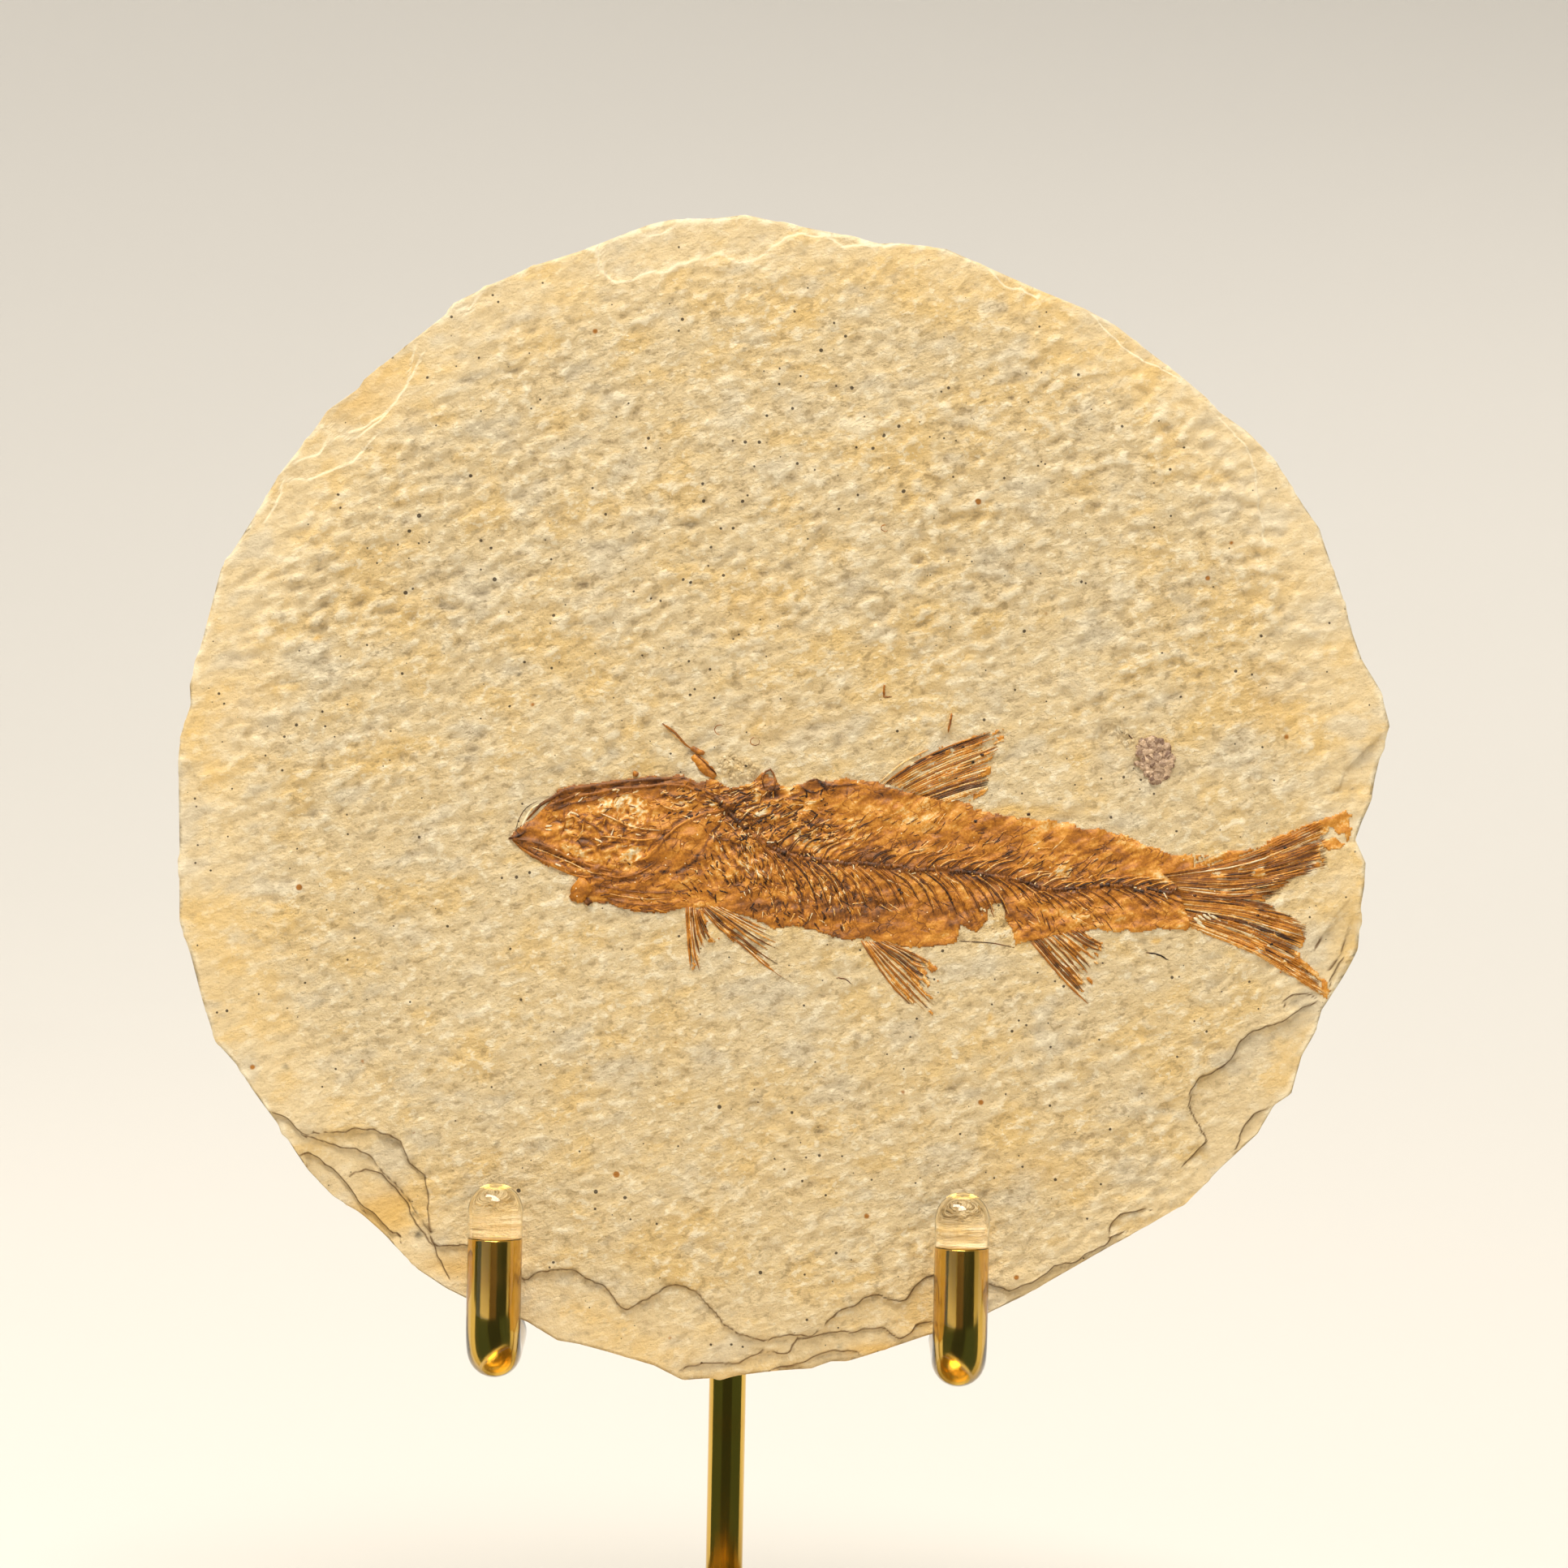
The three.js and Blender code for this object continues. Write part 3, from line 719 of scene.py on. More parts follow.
# Where the stone is stained yellow (above 0) or grey (below 0): middle, half widths and strength.
STAINS = [
    ((-36.3, 35.5), (4.6, 3.4), 0.75),
    ((-34, -35.4), (3.4, 2.0), 0.9),
    ((-28.4, -40.2), (3.0, 1.2), 0.6),
    ((8.3, -47.6), (3.2, 0.7), 0.8),
    ((20.9, -1.1), (4.6, 0.7), 0.8),
    ((-2.5, 17.1), (5.5, 3.0), 0.35),
    ((42.3, 8.8), (4.0, 3.6), 0.5),
    ((-46.6, 8.8), (4.0, 5.0), 0.3),
    ((-0.4, 6.7), (6.0, 2.6), 0.4),
    ((22.7, -31.9), (5.0, 2.0), 0.35),
    ((0, -37.5), (42, 16), 0.16),
    ((-6, 4.4), (1.0, 0.35), -0.5),
    ((-50.2, -17.5), (0.30, 0.25), -0.7),
    ((-49.4, -19.3), (0.28, 0.22), -0.6),
    ((-43, -23.1), (0.32, 0.28), -0.8),
    ((-37.3, -17.1), (0.28, 0.22), -0.6),
    ((32.1, -12.2), (0.42, 0.30), 1.3),
    ((17.8, -18.8), (0.30, 0.30), 1.2),
    ((-40.2, 13.9), (0.34, 0.30), 1.2),
    ((-32.1, -35.8), (0.42, 0.40), -1.2),
    ((-31.6, -37.6), (0.50, 0.42), -1.2),
    ((4.8, -47.2), (0.40, 0.30), -1.0),
    ((-22.8, 10.8), (0.20, 0.15), -0.8),
    ((17.2, -22.5), (0.20, 0.20), -0.8),
    ((-24.2, 38.1), (14, 8), -0.10),
    ((18.5, 19.9), (12, 7), -0.12),
]
fall, near_edge = below_edges(right, up)
_, rough = crumple(right, up)
for _, outline in SCARS:
    near_edge = np.minimum(near_edge, from_line(right, up, [*outline, outline[0]])[0] + 0.05)
# Painted shade and highlight along the layer edges, the scars' outlines and the rim: the edge lines dark
# brown on the middle and lower face and pale on the upper, the rim pale except near the bottom, where it is
# brown.
edge_shade_and_highlight = np.exp(-((near_edge / 0.10) ** 2)) * np.where(up > 12, -1, np.where(up > -12, 0.5, 1))
to_rim = reach(np.arctan2(up, right)) * FACE_SHARE - np.hypot(right, up)
ragged_rim = 0.35 + 0.65 * ease(noise(right / 1.3, up / 1.3, 19), -0.2, 0.4)
rim_highlight_and_shade = np.exp(-((to_rim / 0.6) ** 2)) * ragged_rim * np.where(up > -30, -1, 0.4)
edge_shade_and_highlight = np.where(np.abs(edge_shade_and_highlight) > np.abs(rim_highlight_and_shade), edge_shade_and_highlight, rim_highlight_and_shade)
# Painted light and shade: the lumps' crests are painted paler and their hollows greyer, as if lit from
# above, and the layers below an edge a little greyer. The oval added next is a real whitish patch of the
# stone.
relief_shade_and_pale_patch = np.clip(rough * 2.6, -1, 1) - 0.1 * ease(fall, 0.04, 0.3)
relief_shade_and_pale_patch += 1.2 * np.exp(-(((right - 6.6) / 1.9) ** 2 + ((up - 32.2) / 0.9) ** 2))
stains = np.zeros(right.shape)
for (x, y), (wide, high), strength in STAINS:
    ragged = 0.35 * noise(right / wide, up / high, 17) if wide > 1 else 0
    stains += strength * np.exp(-(((right - x) / wide) ** 2 + ((up - y) / high) ** 2)) * (1 + ragged)
speckled = np.exp(-(((right + 2) / 15) ** 2 + ((up - 24) / 9) ** 2)) + 0.4 * noise(right / 12, up / 12, 18)
smoother = ease(np.hypot(right, up), 41, 50)
for number, vertex in enumerate(face_verts):
    vertex[calm_layer] = float(smoother[number])
    vertex[edge_shade_layer] = float(edge_shade_and_highlight[number])
    vertex[relief_shade_layer] = float(relief_shade_and_pale_patch[number])
    vertex[stain_layer] = float(stains[number])
    vertex[speck_layer] = float(speckled[number])

# The broken edge: each layer of the stone has its own outline, a step from one to the next.
ring = [edge for edge in stone_mesh.edges if edge.is_boundary]
rng = np.random.default_rng(12)
layer_tops = np.concatenate([[0.0], np.sort(rng.uniform(0.08, 0.92, LAYERS - 1)), [1.0]])
for layer in range(LAYERS):
    for share in (layer_tops[layer] + LAYER_GAP, layer_tops[layer + 1] - LAYER_GAP):
        grown = bmesh.ops.extrude_edge_only(stone_mesh, edges=ring)["geom"]
        ring = [item for item in grown if isinstance(item, bmesh.types.BMEdge)]
        verts = [item for item in grown if isinstance(item, bmesh.types.BMVert)]
        x, y, _ = positions(verts)
        angle = np.arctan2(y, x)
        lip = FACE_SHARE * reach(angle)
        top = face_height(lip * np.cos(angle), lip * np.sin(angle))
        wander = 0.05 * noise(angle * 6 + 50, np.full(angle.shape, layer * 3.3), 14)
        depth_share = np.clip(share + wander * (layer > 0), 0.01, 0.99)
        depth = top + (-SLAB_THICKNESS - top) * depth_share
        chips = 0.32 * noise(angle * 17 + 80, np.full(angle.shape, layer * 5.1), 15)
        chips += 0.14 * noise(angle * 55 + 80, np.full(angle.shape, layer * 2.7 + share), 16)
        out = reach(angle) * (1 - 0.005 * (SLAB_THICKNESS * share - 0.6).clip(0)) + chips - 0.15
        rounding = 0.35 * np.exp(-share * 22)
        move(verts, (out - rounding) * np.cos(angle), (out - rounding) * np.sin(angle), depth)

# The back: another split surface, joined to the last layer's outline.
back_verts, right, up = round_off(stone_mesh, BACK_CELLS, BACK_SHARE)
broad, rough = crumple(right + 200, up + 90)
move(back_verts, right, up, -SLAB_THICKNESS + 0.5 * broad + 0.8 * rough)
back_ring = [edge for edge in stone_mesh.edges if edge.is_boundary and edge not in set(ring)]
bmesh.ops.bridge_loops(stone_mesh, edges=ring + back_ring)
bmesh.ops.recalc_face_normals(stone_mesh, faces=stone_mesh.faces[:])
stone_tree = BVHTree.FromBMesh(stone_mesh)

CREAM = linear(230, 206, 161)
HIGHLIGHT_PALE = linear(254, 240, 208)
YELLOW = linear(234, 196, 124)
HOLLOW_SHADE_GREY = linear(172, 153, 124)
SHADE_DUN = linear(146, 118, 78)
ASH = linear(214, 203, 180)
RUST = linear(176, 118, 56)
EDGE_SHADE_BROWN = linear(104, 70, 34)

stone = Finish("cream_limestone", Roughness=0.92, Specular_IOR_Level=0.25)
blotches = stone.noise((13, 12, 9), detail=4, turn=GRAIN_TURN)
lumps = stone.noise((1.5, 1.2, 0.8), detail=4, turn=GRAIN_TURN, shift=30, roughness=0.6)
flakes = stone.noise((0.95, 0.8, 0.7), detail=5, turn=GRAIN_TURN, shift=17, roughness=0.58)
patches = stone.noise((5, 4, 3), detail=4, turn=GRAIN_TURN, shift=50)
grains = stone.noise(0.18, detail=4, roughness=0.6)
crest = stone.painted("relief") + (lumps - 0.5) * 2.4
colour = stone.mix(CREAM, YELLOW, stone.fade(blotches, 0.48, 0.68) * 0.55)
rugged = 1 - stone.painted("calm") * 0.6
colour = stone.mix(colour, ASH, stone.fade(patches, 0.52, 0.68) * 0.55)
colour = stone.mix(colour, YELLOW, stone.fade(patches, 0.48, 0.34) * 0.5)
# Painted highlight on the crests and painted shade in the hollows, from the painted relief and random
# mottling.
colour = stone.mix(colour, HIGHLIGHT_PALE, stone.fade(crest, 0.1, 1.0) * 0.7)
colour = stone.mix(colour, HOLLOW_SHADE_GREY, stone.fade(crest, -0.15, -1.1) * 0.75)
# Painted highlight and shade: the flakes and grains that also raise the bump make the colour paler on their
# tops and dun in their hollows.
colour = stone.mix(colour, HIGHLIGHT_PALE, stone.fade(flakes, 0.54, 0.66) * rugged * 0.7)
colour = stone.mix(colour, SHADE_DUN, stone.fade(flakes, 0.45, 0.33) * rugged * 0.45)
colour = stone.mix(colour, SHADE_DUN, stone.fade(grains, 0.40, 0.24) * 0.4)
colour = stone.mix(colour, linear(228, 184, 106), stone.fade(stone.painted("stain"), 0, 1) * 0.8)
colour = stone.mix(colour, linear(84, 76, 64), stone.fade(stone.painted("stain"), 0, -1) * 0.85)
uneven = stone.noise((4, 3, 2), detail=3, shift=21) - 0.5
specks = stone.cells(1.2, shift=3) + uneven * 0.45 - stone.painted("specks") * 0.05 - rugged * 0.03 + 0.03
colour = stone.mix(colour, linear(66, 54, 42), stone.fade(specks, 0.075, 0.035) * 0.9)
rusty = stone.cells(7.0, shift=11)
colour = stone.mix(colour, RUST, stone.fade(rusty, 0.05, 0.03))
# Painted shade and highlight at the edges: brown where the edge paint is above 0, pale where it is below.
colour = stone.mix(colour, EDGE_SHADE_BROWN, stone.fade(stone.painted("edge"), 0.35, 1) * 0.85)
colour = stone.mix(colour, HIGHLIGHT_PALE, stone.fade(stone.painted("edge"), -0.15, -1) * 0.7)
grain_bump = stone.bump(grains, 0.08, 0.7)
tooth = stone.noise((1.3, 1.1, 0.9), detail=6, turn=GRAIN_TURN, roughness=0.66)
stone.give(Base_Color=colour, Normal=stone.bump((tooth + flakes * 0.6) * rugged, 0.7, 0.9, under=grain_bump))

bmesh.ops.transform(stone_mesh, matrix=face_place, verts=stone_mesh.verts[:])
slab = put("stone", stone_mesh, stone.material)
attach(slab, "root")
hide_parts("slab")


def ground(right, up):
    """The height of the stone's own face at each point."""
    heights = []
    for x, y in zip(np.ravel(right), np.ravel(up)):
        hit = stone_tree.ray_cast(Vector((x, y, 5)), Vector((0, 0, -1)))[0]
        heights.append(hit.z if hit else -SLAB_THICKNESS)
    return np.array(heights).reshape(np.shape(right))


# ---- The fish's skin and scales ----
# A film of orange-brown bone and skin, half sunk in the stone that it was pressed into. It stands higher
# over the skull and the backbone, cracked into scales, and ragged where it has flaked away.
BODY = [(-23.7, -3.4), (-23.2, -2.5), (-21.7, -1.6), (-20.4, -0.3), (-19.5, 1), (-17.9, 1.3),
    (-15.3, 1.6), (-12.7, 1.9), (-11.1, 2.1), (-9, 2.1), (-7.5, 1.6), (-6, 1.9), (-4.9, 1), (-3.1, 1.3),
    (-1.8, 2.5), (0.3, 1), (1.3, 1.3), (2.6, 1.9), (3.6, 1.6), (5.5, 1.9), (8.1, 1.6),
    (8.3, 1.3), (16.3, -0.3), (16.3, -0.8), (18.3, -1.2), (21.3, -1.6), (24.4, -2), (26, -2.5),
    (27.1, -2.5), (29.3, -3), (31.5, -3.9), (33.5, -4.7), (35.4, -4.8), (35.44, -6.45),
    (35.92, -8.38), (35.44, -10.63), (34.63, -11.43), (32.3, -11.2), (30.4, -11.5), (28.8, -11.5),
    (27.1, -11.2), (21.3, -12.3), (19.9, -12.6), (19.3, -10.6), (18.8, -9), (17.7, -9.2), (17.7, -10.4),
    (16.6, -11.6), (15.3, -10.9), (14.9, -12.5), (11.1, -12.9), (9.3, -12.5), (6.7, -12), (5, -12.2),
    (2.9, -11.5), (1.6, -11.1), (-1, -11.1), (-2.8, -10.4), (-4.1, -9.9), (-6, -9.5), (-7.5, -9.4),
    (-8.8, -9.5), (-10.1, -9.8), (-12.2, -9.8), (-13.9, -9.5), (-15.3, -9), (-16.3, -8.9),
    (-17.1, -9.2), (-17.9, -8.9), (-18.3, -8.1), (-17.9, -7.1), (-17.6, -6.7), (-19.1, -6.3),
    (-20.9, -5.4), (-22.5, -4.3), (-23.5, -3.7)]
# The run of the backbone, from the skull to the tail's base.
BACKBONE = [(-6, 0.2), (-3.6, -2.1), (-1, -4.2), (1.6, -5), (4.2, -5.4), (6.7, -5.5), (9.4, -5.8),
    (12.2, -6), (14.9, -6.1), (17.7, -6.5), (20.4, -7), (22.7, -7.8), (26, -7.6), (28.8, -7.4),
    (31.5, -7.8), (33.7, -8)]
FILM_CELL = 0.125
FILM_THICKNESS = 0.2

FINS = [
    ([(8.3, 1.3), (9.4, 2.1), (11.6, 3.8), (14.9, 5.2), (19, 6.2), (19, 4.9), (18.8, 3.8), (18, 2.9),
        (17.7, 0.7), (16.3, -0.4)], radians(24)),
    ([(35.4, -4.8), (37.6, -4.5), (39.8, -4.3), (42.6, -3.1), (45.4, -2), (46.5, -1.6), (47.6, -1.2),
        (48.7, -0.8), (49.2, -1.5), (49.2, -2.3), (48.7, -3.7), (47.9, -4.4), (46.8, -4.5),
        (46.5, -5.7), (45.4, -6), (44, -6.4), (43.7, -7.1), (42.6, -7.8), (41.2, -8.1), (41.8, -9),
        (42.6, -9.8), (44, -10.6), (45.1, -11.8), (44.5, -13.4), (45.4, -14.2), (46.5, -15.3),
        (47.2, -16.4), (46.8, -17.4), (45.1, -16), (42.6, -14.8), (40.7, -13.4), (38.7, -12.6),
        (37, -12), (35.4, -11.2), (34.3, -10.6)], 0),
    ([(6.67, -12.07), (13.42, -14.16), (13.42, -19.3), (9.89, -17.05)], radians(-52)),
    ([(21.14, -12.07), (27.56, -12.23), (26.28, -17.86), (23.71, -15.13)], radians(-48)),
    ([(-8.63, -9.12), (-5.72, -8.98), (0.5, -15.9), (-2.4, -13.69), (-4.89, -12.03), (-6.55, -12.58),
        (-7.94, -15.07)], radians(-45)),
]
CREAM_PATCHES = [
    [(-16.02, 0.1), (-15.41, 0.49), (-14.8, -0.07), (-14.91, -0.9), (-15.41, -1.18), (-15.96, -0.68)],
    [(-14.53, 0.1), (-13.47, 0.49), (-12.09, 0.1), (-11.65, -0.95), (-12.09, -2.2), (-13.33, -2.39),
        (-14.25, -1.92), (-14.64, -0.95)],
    [(-14.36, -5.05), (-13.47, -4.33), (-12.23, -4.28), (-12.37, -5.11), (-13.2, -5.52), (-14.17, -5.55)],
    [(0.92, -2.95), (2.3, -2.84), (3.13, -3.72), (2.86, -4.69), (1.75, -4.28)],
    [(2.86, -6.49), (3.83, -6.63), (3.69, -8.01), (2.91, -7.87)],
    [(0.8, -2.9), (1.5, -2.7), (2.1, -3.3), (1.7, -4.3), (1, -4)],
    [(2.5, -2.7), (2.9, -3.1), (3.4, -4.5), (2.8, -4.8), (2.5, -3.9)],
    [(35.44, -10.3), (36.88, -9.73), (37.59, -10.3), (36.88, -11.11), (35.76, -11.2)],
    [(23.22, -6.77), (23.71, -5.97), (24.83, -6.06), (24.83, -6.83), (24.03, -7.09)],
]
# Ridges and lines of the head: corners, half width, height, and tone from 0, dark brown, to 1, cream.
HEAD_LINES = [
    ([(-22.75, -2.39), (-22, -1.45), (-21.09, -0.54), (-20.12, 0.1), (-19.62, 0.76), (-18.73, 0.82),
        (-16.79, 1.12), (-15.13, 1.4), (-13.33, 1.54), (-11.54, 1.68), (-10.15, 1.95), (-8.91, 1.92),
        (-7.94, 1.59), (-6.97, 0.85), (-5.45, -0.07), (-4.06, -0.54)], 0.26, 0.22, 0.32),
    ([(-20.12, -0.54), (-19.01, 0.1), (-17.35, 0.29), (-15.41, 0.71), (-13.47, 1.04), (-11.54, 1.04),
        (-9.6, 1.4), (-8.21, 1.12), (-6.55, 0.21), (-4.89, -0.54)], 0.20, 0.16, 0.50),
    ([(-19.56, 0.43), (-17.9, 0.62), (-15.96, 0.93), (-13.75, 1.26), (-11.81, 1.37), (-10.15, 1.65),
        (-8.77, 1.59)], 0.08, -0.06, 0.04),
    ([(-19.84, -0.95), (-18.46, -0.4), (-16.52, -0.07), (-14.58, 0.71)], 0.10, 0.08, 0.30),
    ([(-22.66, -2.39), (-22.28, -1.65), (-21.64, -0.73), (-21, -0.4)], 0.17, 0.10, 1.0),
    ([(-23.16, -2.67), (-22.75, -1.45), (-22, -0.54), (-21.17, -0.12)], 0.06, 0.05, 0.1),
    ([(-23.77, -3.39), (-23.02, -3.17), (-22.39, -2.84)], 0.22, 0.2, 0.12),
    ([(-23.49, -3.39), (-21.92, -3.58), (-20.39, -4.05), (-18.87, -4.83), (-17.49, -5.44),
        (-15.96, -5.94), (-14.3, -6.27)], 0.22, 0.2, 0.36),
    ([(-22.88, -3.78), (-21.5, -4.22), (-19.84, -4.72), (-18.04, -5.44),
        (-16.52, -6.05)], 0.08, -0.1, 0.02),
    ([(-22.11, -4), (-20.12, -4.72), (-18.18, -5.55), (-16.52, -6.32), (-14.58, -6.49)], 0.07, 0.1, 0.86),
    ([(-23.44, -3.5), (-22.19, -4.5), (-20.39, -5.44), (-18.73, -6.21), (-17.35, -6.71),
        (-16.24, -6.63)], 0.28, 0.2, 0.46),
    ([(-22.75, -4.28), (-20.67, -5.44), (-18.73, -6.32), (-17.49, -6.71)], 0.07, -0.08, 0.06),
    ([(-16.24, -1.04), (-14.86, -1.56), (-13.47, -2.25), (-11.81, -2.56),
        (-10.43, -2.67)], 0.09, 0.14, 0.80),
    ([(-16.52, -1.34), (-15, -2.12), (-13.47, -2.73), (-11.81, -3.08)], 0.08, -0.05, 0.10),
    ([(-14.58, 0.15), (-13.47, 0.57), (-12.09, 0.1), (-11.48, -0.95), (-11.81, -2.2), (-13.06, -2.39),
        (-14.17, -1.78), (-14.58, -0.68)], 0.10, 0.10, 0.62),
    ([(-19.29, -1.78), (-18.18, -1.45), (-17.29, -2.2), (-17.76, -3.17),
        (-18.87, -2.95)], 0.14, 0.12, 0.80),
    ([(-17.35, -1.78), (-16.24, -2.34), (-15.41, -3.31), (-15.96, -4.28)], 0.12, 0.1, 0.30),
    ([(-18.18, -3.72), (-17.07, -3.58), (-16.24, -4)], 0.2, -0.05, 0.28),
    ([(-19.01, -0.95), (-18.87, -2.06), (-19.29, -3.17)], 0.10, 0.1, 0.34),
    ([(-15.69, -3.17), (-14.03, -3.31), (-12.37, -3.5), (-10.71, -3.31)], 0.12, 0.1, 0.66),
    ([(-15.55, -3.72), (-13.75, -3.83), (-12.09, -4.05)], 0.06, -0.04, 0.12),
    ([(-12.92, -5.44), (-11.81, -4.99), (-10.71, -3.86), (-9.6, -2.61), (-7.94, -1.65), (-6.28, -1.09),
        (-4.89, -0.82)], 0.18, 0.16, 0.62),
    ([(-11.81, -4.41), (-10.71, -3.31), (-9.6, -2.12), (-7.94, -1.18), (-6.28, -0.62)], 0.08, -0.05, 0.10),
    ([(-4.89, -0.68), (-5.31, -1.78), (-6.28, -3.17), (-7.11, -4.55), (-7.94, -5.52), (-9.04, -6.21),
        (-10.71, -6.27)], 0.13, -0.08, 0.08),
    ([(-16.52, -6.05), (-14.58, -6.71), (-12.92, -6.49), (-11.67, -5.88),
        (-10.71, -5.11)], 0.14, 0.12, 0.5),
    ([(-16.66, -6.43), (-14.72, -7.04), (-12.92, -6.93), (-11.26, -6.43)], 0.07, -0.05, 0.12),
    ([(-16.24, -7.32), (-14.03, -7.82), (-11.81, -8.04), (-9.04, -7.93), (-7.8, -7.74)], 0.10, 0.10, 0.30),
    ([(-15.83, -7.93), (-13.75, -8.37), (-11.54, -8.59), (-9.04, -8.37)], 0.07, 0.08, 0.66),
    ([(-15.55, -8.43), (-13.47, -8.98), (-11.26, -9.15), (-8.91, -8.87)], 0.07, 0.06, 0.34),
    ([(-15.27, -8.93), (-13.2, -9.42), (-10.98, -9.59), (-8.88, -9.26)], 0.07, 0.06, 0.62),
    ([(-10.71, 0.71), (-9.32, 0.15), (-7.94, 0.1), (-6.55, -0.54)], 0.12, 0.12, 0.30),
    ([(-11.26, 0.1), (-10.15, -0.68), (-8.49, -0.95)], 0.10, 0.08, 0.78),
    ([(-4.89, -0.68), (-3.79, -0.95), (-2.68, -1.51), (-1.85, -2.34)], 0.16, 0.1, 0.24),
    ([(2.03, 1.54), (2.72, 1.68), (3.41, 1.4), (3.69, 0.71)], 0.16, 0.16, 0.14),
    ([(1.47, 1.12), (2.03, 0.71), (2.86, 0.57)], 0.14, 0.12, 0.18),
    ([(3.83, 1.12), (4.79, 1.21), (6.18, 1.32)], 0.10, 0.1, 0.26),
]


def raised(right, up, lines):
    """What the ridges and lines add to the height, and the tone they give with its weight."""
    height = np.zeros(right.shape)
    tone = np.zeros(right.shape)
    weight = np.zeros(right.shape)
    worn = np.clip(0.68 + 0.55 * noise(right / 1.0, up / 1.0, 73), 0.1, 1)
    bent_right = right + 0.14 * noise(right / 0.7, up / 0.7, 71)
    bent_up = up + 0.14 * noise(right / 0.7, up / 0.7, 72)
    for line, half_width, lift, shade in lines:
        distance = from_line(bent_right, bent_up, line)[0]
        share = np.exp(-((distance / half_width) ** 2)) * worn
        height += lift * share
        tone = tone * (1 - share) + shade * share
        weight = np.maximum(weight, share)
    return height, tone, weight


# Where the bones were crushed or lie thickly side by side: middle, half widths, the way they run in
# degrees, their length and width, and how much they change the tone and the height.
CRUSHED = [
    ((-2.5, 0), (5.4, 2.3), 14, 1.5, 0.30, 0.50, 0.13),
    ((-4.3, -5.4), (3.4, 2.4), -62, 1.3, 0.28, 0.46, 0.12),
    ((3.8, -8.3), (5.2, 2.6), -78, 1.6, 0.30, 0.34, 0.08),
    ((3.1, -3.5), (5.0, 1.9), 25, 0.9, 0.30, 0.44, 0.11),
    ((-12.3, -8.6), (4.6, 1.3), -8, 2.4, 0.22, 0.30, 0.06),
    ((-19.3, -6), (3.4, 1.1), -34, 2.4, 0.20, 0.36, 0.06),
    ((15, -0.3), (10.0, 2.2), 38, 1.3, 0.26, 0.16, 0.04),
    ((25.5, -10.2), (8.0, 1.9), -36, 1.6, 0.28, 0.18, 0.04),
    ((26.2, -4.9), (8.5, 1.7), 30, 1.8, 0.30, 0.16, 0.04),
    ((34.2, -8.6), (3.6, 2.2), -30, 1.8, 0.22, 0.42, 0.08),
    ((15, -9.4), (6.0, 2.4), -62, 2.0, 0.34, 0.16, 0.04),
]
# Folded paper-thin bone of the cheek, and the smooth gill cover and throat plate.
FOLDED = ((-16, -3.6), (5.0, 3.0))
SMOOTH = [((-9.2, -3.6), (3.0, 2.1), 0.18), ((-13.7, -7.3), (3.6, 1.0), 0.05)]


def within(right, up, middle, widths):
    """1 inside an oval and 0 well outside it, with a soft edge."""
    return np.exp(-((((right - middle[0]) / widths[0]) ** 2 + ((up - middle[1]) / widths[1]) ** 2) ** 2))


def film(outlines_hold, low, high, surface):
    """A film of bone: a fine grid cut to where it is kept, given its height and tone, and made solid."""
    bm = bmesh.new()
    tone_layer = bm.verts.layers.float.new("tone")
    columns, rows = [int((b - a) / FILM_CELL) for a, b in zip(low, high)]
    verts = bmesh.ops.create_grid(bm, x_segments=columns, y_segments=rows, size=0.5)["verts"]
    x, y, _ = positions(verts)
    right = low[0] + (x + 0.5) * (high[0] - low[0])
    up = low[1] + (y + 0.5) * (high[1] - low[1])
    move(verts, right, up, np.zeros(right.shape))
    bare = [vertex for vertex, keep in zip(verts, outlines_hold(right, up)) if not keep]
    bmesh.ops.delete(bm, geom=bare, context="VERTS")
    for _ in range(3):
        pinched = [v for v in bm.verts if sum(edge.is_boundary for edge in v.link_edges) > 2]
        bmesh.ops.delete(bm, geom=pinched, context="VERTS")
    bmesh.ops.delete(bm, geom=[edge for edge in bm.edges if not edge.link_faces], context="EDGES")
    bmesh.ops.delete(bm, geom=[v for v in bm.verts if not v.link_faces], context="VERTS")
    verts = bm.verts[:]
    right, up, _ = positions(verts)
    height, tone = surface(right, up)
    move(verts, right, up, height)
    for vertex, value in zip(verts, tone):
        vertex[tone_layer] = float(value)
    grown = bmesh.ops.extrude_face_region(bm, geom=bm.faces[:], use_keep_orig=True)["geom"]
    lower = [item for item in grown if isinstance(item, bmesh.types.BMVert)]
    bmesh.ops.translate(bm, verts=lower, vec=(0, 0, -FILM_THICKNESS))
    return bm


def body_holds(right, up):
    shake = 0.12 * noise(right / 0.5, up / 0.5, 41) + 0.17 * noise(right / 1.6, up / 1.6, 42)
    shake += 0.07 * noise(right / 0.25, up / 0.25, 43)
    return inside(right + shake, up + shake, BODY)


